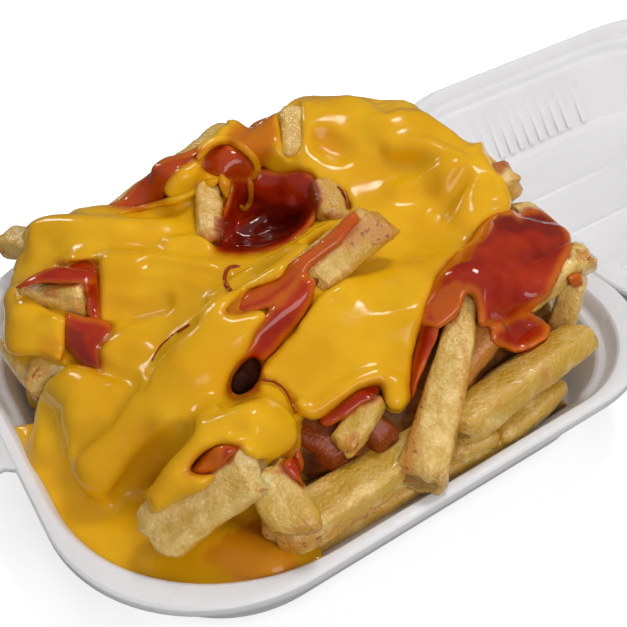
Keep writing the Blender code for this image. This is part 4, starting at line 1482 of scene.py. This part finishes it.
def tab(name, width, side):
    """The tray's tongue or the lid's flap, with splayed root corners."""
    root = HALF_DEPTH - TAB_ROOT
    tip = HALF_DEPTH + TAB_LENGTH
    half = width / 2
    outline = [(-half - TAB_SPLAY, root), (-half - TAB_SPLAY, HALF_DEPTH - HINGE_GAP)]
    outline += [(-half, HALF_DEPTH + TAB_SPLAY), (-half, tip - TAB_CORNER), (-half + TAB_CORNER, tip)]
    outline += [(-x, y) for x, y in reversed(outline)]
    top = RIM_Z - TAB_BELOW_RIM
    points = [(x, y * side, z) for z in (top - TAB_THICKNESS, top) for x, y in outline]
    count = len(outline)
    faces = [tuple(range(count)), tuple(range(count, 2 * count))] + ring_faces(2, count)
    return solid_from(name, points, faces, "tab")


def bar(name, start, end, radius, flatness):
    start = Vector(start) * MM
    end = Vector(end) * MM
    along = end - start
    body = bmesh.new()
    bmesh.ops.create_cone(body, cap_ends=True, segments=BAR_SIDES, radius1=radius * MM,
                          radius2=radius * MM, depth=along.length)
    bmesh.ops.scale(body, verts=body.verts, vec=(1.0, flatness, 1.0))
    mesh = bpy.data.meshes.new(name)
    body.to_mesh(mesh)
    body.free()
    turn = along.to_track_quat("Z", "Y").to_matrix().to_4x4()
    turn.translation = (start + end) / 2
    mesh.transform(turn)
    return add_object(name, mesh)


def join_relief(made, relief):
    """One Boolean union with the relief, then softened edges as moulded foam has."""
    group = bpy.data.collections.new("relief")
    bpy.context.scene.collection.children.link(group)
    for item in relief:
        group.objects.link(item)
    step = made.modifiers.new("Union", "BOOLEAN")
    step.operation = "UNION"
    step.operand_type = "COLLECTION"
    step.collection = group
    apply_modifiers(made)
    for item in relief:
        bpy.data.objects.remove(item, do_unlink=True)
    bpy.data.collections.remove(group)
    soft = made.modifiers.new("Soft edges", "BEVEL")
    soft.width = SOFT_EDGE * MM
    soft.segments = 2
    soft.limit_method = "ANGLE"
    soft.angle_limit = math.radians(SOFT_EDGE_ANGLE)
    apply_modifiers(made)
    shade(made, "foam")


def make_box(foam):
    tray = shell("tray_foam", TRAY_OUTSIDE[::-1] + TRAY_INSIDE, -1)
    join_relief(tray, [tab("tongue", TONGUE_WIDTH, -1)])
    dress(tray, foam, "tray", "base")
    lid = shell("lid_foam", LID_OUTSIDE[::-1] + LID_INSIDE, 1)
    relief = [tab("flap", FLAP_WIDTH, 1)]
    top_x = BOX_WIDTH / 2 - LID_WALL_TOP[0] + RIB_SINK
    foot_x = BOX_WIDTH / 2 - LID_WALL_FOOT[0] + RIB_SINK
    for side in (-1, 1):
        for y in RIB_PLACES:
            start = (top_x * side, y, LID_WALL_TOP[1] - RIB_END_DROP)
            end = (foot_x * side, y, LID_WALL_FOOT[1] + RIB_END_DROP)
            relief.append(bar("rib", start, end, RIB_RADIUS, RIB_FLATNESS))
    height = FOAM - FLOOR_LINE_SINK
    for x in FLOOR_LINE_X:
        for y_start, y_end in FLOOR_LINE_SPANS:
            relief.append(bar("floor_line", (x, y_start, height), (x, y_end, height),
                              FLOOR_LINE_RADIUS, FLOOR_LINE_FLATNESS))
    join_relief(lid, relief)
    dress(lid, foam, "lid", "lid")


def end_inset(radius, from_end):
    """How far a rounded end has drawn in at a distance from it."""
    short = np.maximum(radius - from_end, 0)
    return radius - np.sqrt(np.maximum(radius ** 2 - short ** 2, 0))


def fry_shape(name, fry, number, around, rings):
    """Points, faces and painted values of one fried potato stick."""
    start, end, along, across, up = fry_axes(fry)
    length = np.linalg.norm(end - start)
    draw = np.random.RandomState(number + 1)
    bend = draw.uniform(-FRY_BEND, FRY_BEND)
    tilt = draw.uniform(-FRY_TILT, FRY_TILT, (2, 2))
    t = 0.5 - 0.5 * np.cos(np.linspace(0, math.pi, rings))
    which_end = np.where(t < 0.5, 0, 1)
    from_end = np.minimum(t, 1 - t) * length

    # The cross-section, and how it narrows along the fry and rounds off at the ends
    angle = np.linspace(0, 2 * math.pi, around, endpoint=False)
    box_x, box_y = (np.sign(wave) * np.abs(wave) ** FRY_BOXINESS
                    for wave in (np.cos(angle), np.sin(angle)))
    radii = np.array(FRY_ENDS.get(name, draw.uniform(*FRY_END_RADII, 2)))
    factor = 1 + (fry[5] - 1) * t
    half_x, half_y = (
        np.maximum(size / 2 * factor - end_inset(radius, from_end), FRY_LEAST_HALF)
        for size, radius in ((fry[2], radii[which_end]), (fry[3], np.full(rings, FRY_END_RADIUS))))
    local_x = half_x[:, None] * box_x
    local_y = half_y[:, None] * box_y

    # Its length with tilted ends, its bend, and an uneven skin that is rougher at the ends
    lean = local_x * tilt[which_end, 0][:, None] + local_y * tilt[which_end, 1][:, None]
    near_end = smooth_step(0.55, 1.0, np.abs(2 * t - 1))[:, None]
    local_z = (t * length)[:, None] + near_end * lean
    bent_x = local_x + bend * np.sin(math.pi * t)[:, None]
    local = np.stack((local_z, bent_x, local_y), -1).reshape(-1, 3)
    outward = np.stack((np.zeros(len(local)), np.tile(box_x, rings), np.tile(box_y, rings)), -1)
    outward /= np.linalg.norm(outward, axis=1)[:, None]
    key = local + draw.uniform(0, 400, 3)
    end_gap = np.repeat(from_end, around)
    ragged = 1 + RAGGED_MORE * (1 - smooth_step(0.0, RAGGED_LENGTH, end_gap))
    swell = waves(key * (0.6, 1, 1), FRY_SWELL) + waves(key, FRY_LUMPS) * ragged
    swell += waves(key, FRY_GRAIN)
    local += outward * swell[:, None]
    local[:, 0] += waves(key, FRY_TIPS) * (ragged - 1)

    # A middle point closes each end
    caps = np.array([local[:around].mean(0), local[-around:].mean(0)])
    local = np.concatenate((local, caps))
    key = np.concatenate((key, caps))
    points = (start + np.outer(local[:, 0], along) + np.outer(local[:, 1], across)
              + np.outer(local[:, 2], up))
    faces = ring_faces(rings, around)
    last = (rings - 1) * around
    for i in range(around):
        j = (i + 1) % around
        faces.append((len(local) - 2, j, i))
        faces.append((len(local) - 1, last + i, last + j))

    # Browned at corners and ends and in patches, and paler or yellower as a whole
    at_corner = np.concatenate((np.tile(np.abs(box_x * box_y) ** 3, rings), (0.2, 0.2)))
    at_end = 1 - smooth_step(0.0, 5.0, np.concatenate((end_gap, (0.0, 0.0))))
    patch = waves(key * (0.4, 1, 1), FRY_PATCHES)
    fried = draw.uniform(0.45, 1.0)
    brown = 0.75 * at_corner * (0.6 + 0.5 * patch) + 0.55 * at_end * (0.6 + 0.6 * patch)
    brown += 0.35 * smooth_step(0.45, 0.9, patch)
    tone = draw.uniform(0.15, 1.0)
    if name in PALE_FRIES:
        fried *= 0.45
        tone *= 0.25
    elif name in YELLOW_FRIES:
        tone = 0.9
    return (points, faces, np.clip(brown * fried * 1.5, 0, 1), np.full(len(local), tone), key,
            np.full(len(local), FRY_STAINS.get(name, 0.0)))


def join_fries(name, fries, heap, first_number, around, rings):
    """One object with all the fries, given by name, each with its own shape and colour."""
    parts = [fry_shape(key, fry, number + first_number, around, rings)
             for number, (key, fry) in enumerate(fries.items())]
    made = join_parts(name, parts)
    points, brown, tone, place, soaked = (np.concatenate([part[k] for part in parts])
                                          for k in (0, 2, 3, 4, 5))
    sauced = np.maximum(painted(points, heap, SAUCED_SEEN), soaked)
    add_attribute(made, "brown", np.maximum(brown, painted(points, heap, BROWN_SEEN)))
    add_attribute(made, "tone", tone)
    add_attribute(made, "fry_place", place)
    add_attribute(made, "red_and_shade", np.maximum(red_stain(points, heap), sauced))
    return made


def seen_fries(heap):
    """The fries that the photograph shows, by name."""
    fries = dict(BARE_FRIES)
    for name in SHOWN_COVERED:
        start, end, *rest = COVERED_FRIES[name]
        fries[name] = (tuple(start - COVERED_DROP), tuple(end - COVERED_DROP), *rest)
    for name, (ends, width, thickness) in FLUSH_FRIES.items():
        start, end = cast(ends, heap.top) - BACK * FLUSH_SINK
        fries[name] = (tuple(start), tuple(end), width, thickness, FLUSH_ROLL, 1.0)
    return fries


def filling_fries(heap):
    """Fries that lie against the heap's bare sides, drawn by a seeded rule."""
    draw = np.random.RandomState(FILLING_SEED)
    found = []
    for _ in range(FILLING_TRIES):
        angle = draw.uniform(0, 2 * math.pi)
        centre = np.array((*FILLING_MIDDLE, draw.uniform(*FILLING_HEIGHTS)))
        way = np.array((math.cos(angle), math.sin(angle), 0.0))
        line = centre + FILLING_REACH[:, None] * way
        outside = sample(heap.bulk, line) > 0
        if not outside.any():
            continue
        at = line[np.argmax(outside)]
        pitch = math.radians(draw.uniform(*FILLING_PITCHES))
        along = np.cross(way, (0, 0, 1)) * math.cos(pitch) + np.array((0, 0, 1)) * math.sin(pitch)
        half = draw.uniform(*FILLING_HALVES)
        width = draw.uniform(*FILLING_WIDTHS)
        at = at + way * draw.uniform(*FILLING_SINKS)
        fry = (tuple(at - along * half), tuple(at + along * half), width,
               width * FILLING_FLATNESS, draw.uniform(*FILLING_ROLLS),
               draw.uniform(*FILLING_TAPERS))
        line = np.linspace(fry[0], fry[1], 12)
        if room_distance(line).max() > -width * FILLING_OFF_WALL:
            continue
        over = sample(heap.blanket, line)
        if over.max() > FILLING_ABOVE or over.min() < FILLING_BELOW:
            continue
        sides = [line + way * width * FILLING_SIDE for way in (RIGHT, -RIGHT, UP, -UP)]
        if heap.seen(np.concatenate([line] + sides)).max() > 0.5:
            continue
        if any(np.linalg.norm(line.mean(0) - np.mean((other[0], other[1]), axis=0)) < FILLING_APART
               for other in found):
            continue
        found.append(fry)
        if len(found) == FILLING_COUNT:
            break
    return dict(enumerate(found))


def paint_cheese(made, heap):
    """How orange the cheese is where it lies thinly and as painted shade in hollows, valleys and
    under the fries, and how far ketchup has reddened it, at each point.
    """
    points = vertex_points(made)
    pixels, depth = to_pixels(points)
    seen = heap.seen(points)
    wobble = waves(points, SAUCE_EDGE)
    away = seen_distance(pixels, depth, ALL_KETCHUP) + wobble
    red_and_shade = 0.55 * (1 - smooth_step(-0.6, 1.2, away)) * seen
    thin_and_shade = 0.5 * (1 - smooth_step(0.0, 3.0, away)) * seen
    for outline, most_thin_and_shade, most_red in CHEESE_TINTS.values():
        within = 1 - smooth_step(-2.5, 2.5, seen_distance(pixels, depth, [outline]) + wobble)
        thin_and_shade = np.maximum(thin_and_shade, most_thin_and_shade * within * seen)
        red_and_shade = np.maximum(red_and_shade, most_red * within * seen)
    add_attribute(made, "red_and_shade", red_and_shade)
    add_attribute(made, "thin_and_shade", thin_and_shade)


def paint_ketchup(made, heap, name):
    """How orange the ketchup is where it lies thinly, mostly at its edges, and how dark where it is
    painted darker, with painted shade in the pit and behind the side's lip, at each point.
    """
    points = vertex_points(made)
    pixels, depth = to_pixels(points)
    wobble = waves(points, SAUCE_EDGE)
    away = seen_distance(pixels, depth, KETCHUP_SEEN[name].values()) + wobble
    if name == "ketchup_side":
        thin_and_shade = smooth_step(-2.6, 0.2, away) * 0.75
    else:
        thin_and_shade = smooth_step(-1.8, 0.4, away) * 0.65
    add_attribute(made, "thin_and_shade", np.maximum(thin_and_shade, painted(points, heap, THIN_SEEN)))
    # Painted shade: the ketchup in the pit's dark part is painted near black
    dark = seen_distance(pixels, depth, [PIT_SHADE_SEEN])
    in_pit = 1 - smooth_step(-3.0, 1.0, np.maximum(dark, pit_distance(points)))
    shaded = painted(points, heap, DARK_AND_SHADE_SEEN)
    add_attribute(made, "dark_and_shade", np.maximum(in_pit * (0.75 + 0.25 * wobble), shaded))


def pool_field(points):
    """Distance to the cheese that has run into the tray's front corner."""
    plan = points[:, :, 0, :2].reshape(-1, 2)
    height = points[..., 2]
    swirl = waves(plan @ np.eye(2, 3), POOL_SWIRL).reshape(SHAPE[:2])
    pool = np.maximum(height - POOL_Z - swirl[:, :, None], POOL_BOTTOM_Z - height)
    pool = smooth_smaller(pool, line_distance(points, POOL_SWELL, POOL_SWELL_RADIUS), SWELL_BLEND)
    return np.maximum(pool, loop_distance(plan, POOL_PLAN).reshape(SHAPE[:2])[:, :, None])


def make_cheese(heap, material):
    """The cheese sauce; returns the volume that it is the surface of."""
    near = (heap.top > -CHEESE_DEPTH - CHEESE_ROOT - 3) & (heap.top < NEAR_SURFACE)
    points = heap.points[near]
    pixels, depth = to_pixels(points)
    seen = heap.seen(points)
    outline = seen_distance(pixels, depth, CHEESE_SEEN.values())
    outline = np.maximum(outline, -seen_distance(pixels, depth, CHEESE_GAPS.values()))
    outline = outline * seen + loop_distance(points[:, :2], CHEESE_PLAN) * (1 - seen)
    outline += waves(points, *CHEESE_EDGE_WAVES)
    outline = np.maximum(outline, -pit_distance(points) - PIT_OVERLAP)
    field = smooth_larger(heap.top, heap.masked(near, outline), CHEESE_EDGE)
    field = np.maximum(field, -(heap.top + CHEESE_DEPTH + CHEESE_ROOT))
    field = smooth_smaller(field, pool_field(heap.points), POOL_BLEND)
    field = smooth_larger(field, -heap.hole, HOLE_BLEND)
    field = np.maximum(field, heap.sauce_room)
    cover = surface("cheese_sauce", field)
    drop_scraps(cover, FEWEST_OF_PIECE)
    smooth_mesh(cover)
    thin_out(cover, MOST_CHEESE)
    paint_cheese(cover, heap)
    dress(cover, material, "cheese", "base")
    return field


def make_ketchup(heap, material, name, outlines):
    """One piece of ketchup over the heap, inside its outlines."""
    film, span, underlap = KETCHUP_DEPTHS[name]
    base = blurred(heap.blanket, span)
    if span > WIDE_SPAN:
        closer = blurred(heap.blanket, CLOSE_SPAN) + CLOSE_GAP
        base = smooth_smaller(base, closer, CLOSE_BLEND)
    add_flows(base, KETCHUP_FLOWS.get(name, {}).values(), heap.blanket, KETCHUP_FLOW_BLEND)
    around = cast(np.concatenate([np.array(outline) for outline in outlines.values()]), base)
    low, high = around.min(0) - KETCHUP_MARGINS[0], around.max(0) + KETCHUP_MARGINS[1]
    near = (base > NEAR_KETCHUP[0]) & (base < NEAR_KETCHUP[1])
    near &= np.all((heap.points > low) & (heap.points < high), axis=-1)
    points = heap.points[near]
    away = seen_distance(*to_pixels(points), outlines.values()) - underlap
    away += waves(points, KETCHUP_EDGE_WAVES)
    away = np.where(heap.seen(points) > 0.02, away, FAR)
    if name == "ketchup_hollow":
        away = np.minimum(away, pit_distance(points) - PIT_OVERLAP)
    sauce = smooth_larger(base - film, heap.masked(near, away), KETCHUP_EDGE)
    sauce = np.maximum(sauce, -(base + KETCHUP_ROOT))
    sauce = np.maximum(sauce, heap.sauce_room)
    sauce = smooth_larger(sauce, -heap.hole, HOLE_BLEND)
    patch = surface(name + "_sauce", sauce)
    drop_scraps(patch, FEWEST_OF_DROP)
    smooth_mesh(patch)
    paint_ketchup(patch, heap, name)
    dress(patch, material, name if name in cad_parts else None, "base")


def make_strands(heap, cheese_field, cheese, ketchup):
    cover = np.minimum(heap.top, cheese_field)
    drips = strands("cheese_strands", CHEESE_STRANDS, cover)
    paint_cheese(drips, heap)
    dress(drips, cheese, None, "base")
    drips = strands("ketchup_strands", KETCHUP_STRANDS, cover)
    for name, value in (("thin_and_shade", 0.2), ("dark_and_shade", 0.35)):
        add_attribute(drips, name, np.full(len(drips.data.vertices), value))
    dress(drips, ketchup, None, "base")


def make_core(heap):
    """What the fries and sauces lie on, painted in dark shade where it is seen between them and in
    the hole.
    """
    bare = view_hole(heap.top, BARE_WALL_SEEN, BARE_WALL_DEPTH)
    lumpy = heap.under + CORE_SWELL
    near = np.abs(lumpy) < NEAR_LUMPS
    lumpy[near] += waves(heap.points[near], CORE_LUMPS)
    buried = smooth_larger(lumpy, -heap.hole, HOLE_BLEND)
    buried = np.maximum(buried, heap.top + CORE_UNDER_SAUCE)
    core = surface("fries_core", np.maximum(np.maximum(buried, heap.room + CORE_OFF_WALL), -bare))
    drop_scraps(core, FEWEST_OF_PIECE)
    thin_out(core, MOST_CORE)
    points = vertex_points(core)
    # Painted shade: dark where the core is seen and inside the hole
    in_hole = 1 - smooth_step(1.0, 4.0, sample(heap.hole, points))
    add_attribute(core, "red_and_shade", np.maximum(heap.seen(points), in_hole))
    dress(core, gap_material(), None, "base")


def make_food(cheese, ketchup, potato):
    heap = Heap()
    cheese_field = make_cheese(heap, cheese)
    for name, outlines in KETCHUP_SEEN.items():
        make_ketchup(heap, ketchup, name, outlines)
    make_strands(heap, cheese_field, cheese, ketchup)
    make_core(heap)
    fries = join_fries("fries_fried", seen_fries(heap), heap, 0, FRY_AROUND, FRY_RINGS)
    dress(fries, potato, "fries", "base")
    filling = join_fries("fries_filling", filling_fries(heap), heap, FILLING_FIRST_NUMBER,
                         FILLING_AROUND, FILLING_RINGS)
    dress(filling, potato, None, "base")


def make_stage():
    corners = ((-1, -1), (1, -1), (1, 1), (-1, 1))
    floor = object_from("floor", [(x * FLOOR_HALF, y * FLOOR_HALF, FLOOR_Z) for x, y in corners],
                        [(0, 1, 2, 3)])
    floor.data.materials.append(Tree("floor").finish(
        FLOOR_COLOUR, 0.9, specular_IOR_level=0.0, emission_strength=FLOOR_GLOW))
    floor.visible_glossy = False
    floor.visible_diffuse = False
    world = bpy.data.worlds.new("studio")
    world.use_nodes = True
    nodes, links = world.node_tree.nodes, world.node_tree.links
    towards = nodes.new("ShaderNodeVectorMath")
    towards.operation = "DOT_PRODUCT"
    towards.inputs[1].default_value = SKY_SIDE
    links.new(nodes.new("ShaderNodeTexCoord").outputs["Generated"], towards.inputs[0])
    ramp = nodes.new("ShaderNodeMapRange")
    ramp.interpolation_type = "SMOOTHSTEP"
    links.new(towards.outputs["Value"], ramp.inputs["Value"])
    for name, value in zip(("From Min", "From Max", "To Min", "To Max"), SKY):
        ramp.inputs[name].default_value = value
    links.new(ramp.outputs["Result"], nodes["Background"].inputs["Strength"])
    nodes["Background"].inputs["Color"].default_value = (1.0, 1.0, 1.0, 1.0)
    bpy.context.scene.world = world
    for name, (way, distance, size, watts) in LIGHTS.items():
        light = bpy.data.lights.new(name, "AREA")
        light.shape = "RECTANGLE"
        light.size, light.size_y = size
        light.energy = watts
        lamp = add_object(name, light)
        lamp.location = LIGHT_MIDDLE + Vector(way).normalized() * distance
        towards_food = LIGHT_MIDDLE - lamp.location
        lamp.rotation_euler = towards_food.to_track_quat("-Z", "Y").to_euler()


def make_camera():
    data = bpy.data.cameras.new("camera")
    data.sensor_width = SENSOR_WIDTH
    data.lens = FOCAL_PIXELS / IMAGE_WIDTH * data.sensor_width
    data.clip_start = NEAREST_SEEN
    camera = add_object("camera", data)
    x, y, z = CAMERA_AT * MM
    camera.matrix_world = Matrix(((RIGHT[0], UP[0], BACK[0], x), (RIGHT[1], UP[1], BACK[1], y),
                                  (RIGHT[2], UP[2], BACK[2], z), (0, 0, 0, 1)))
    bpy.context.scene.camera = camera
    bpy.context.scene.view_settings.view_transform = "Standard"


make_camera()
make_stage()
make_box(foam_material())
make_food(cheese_material(), ketchup_material(), potato_material())
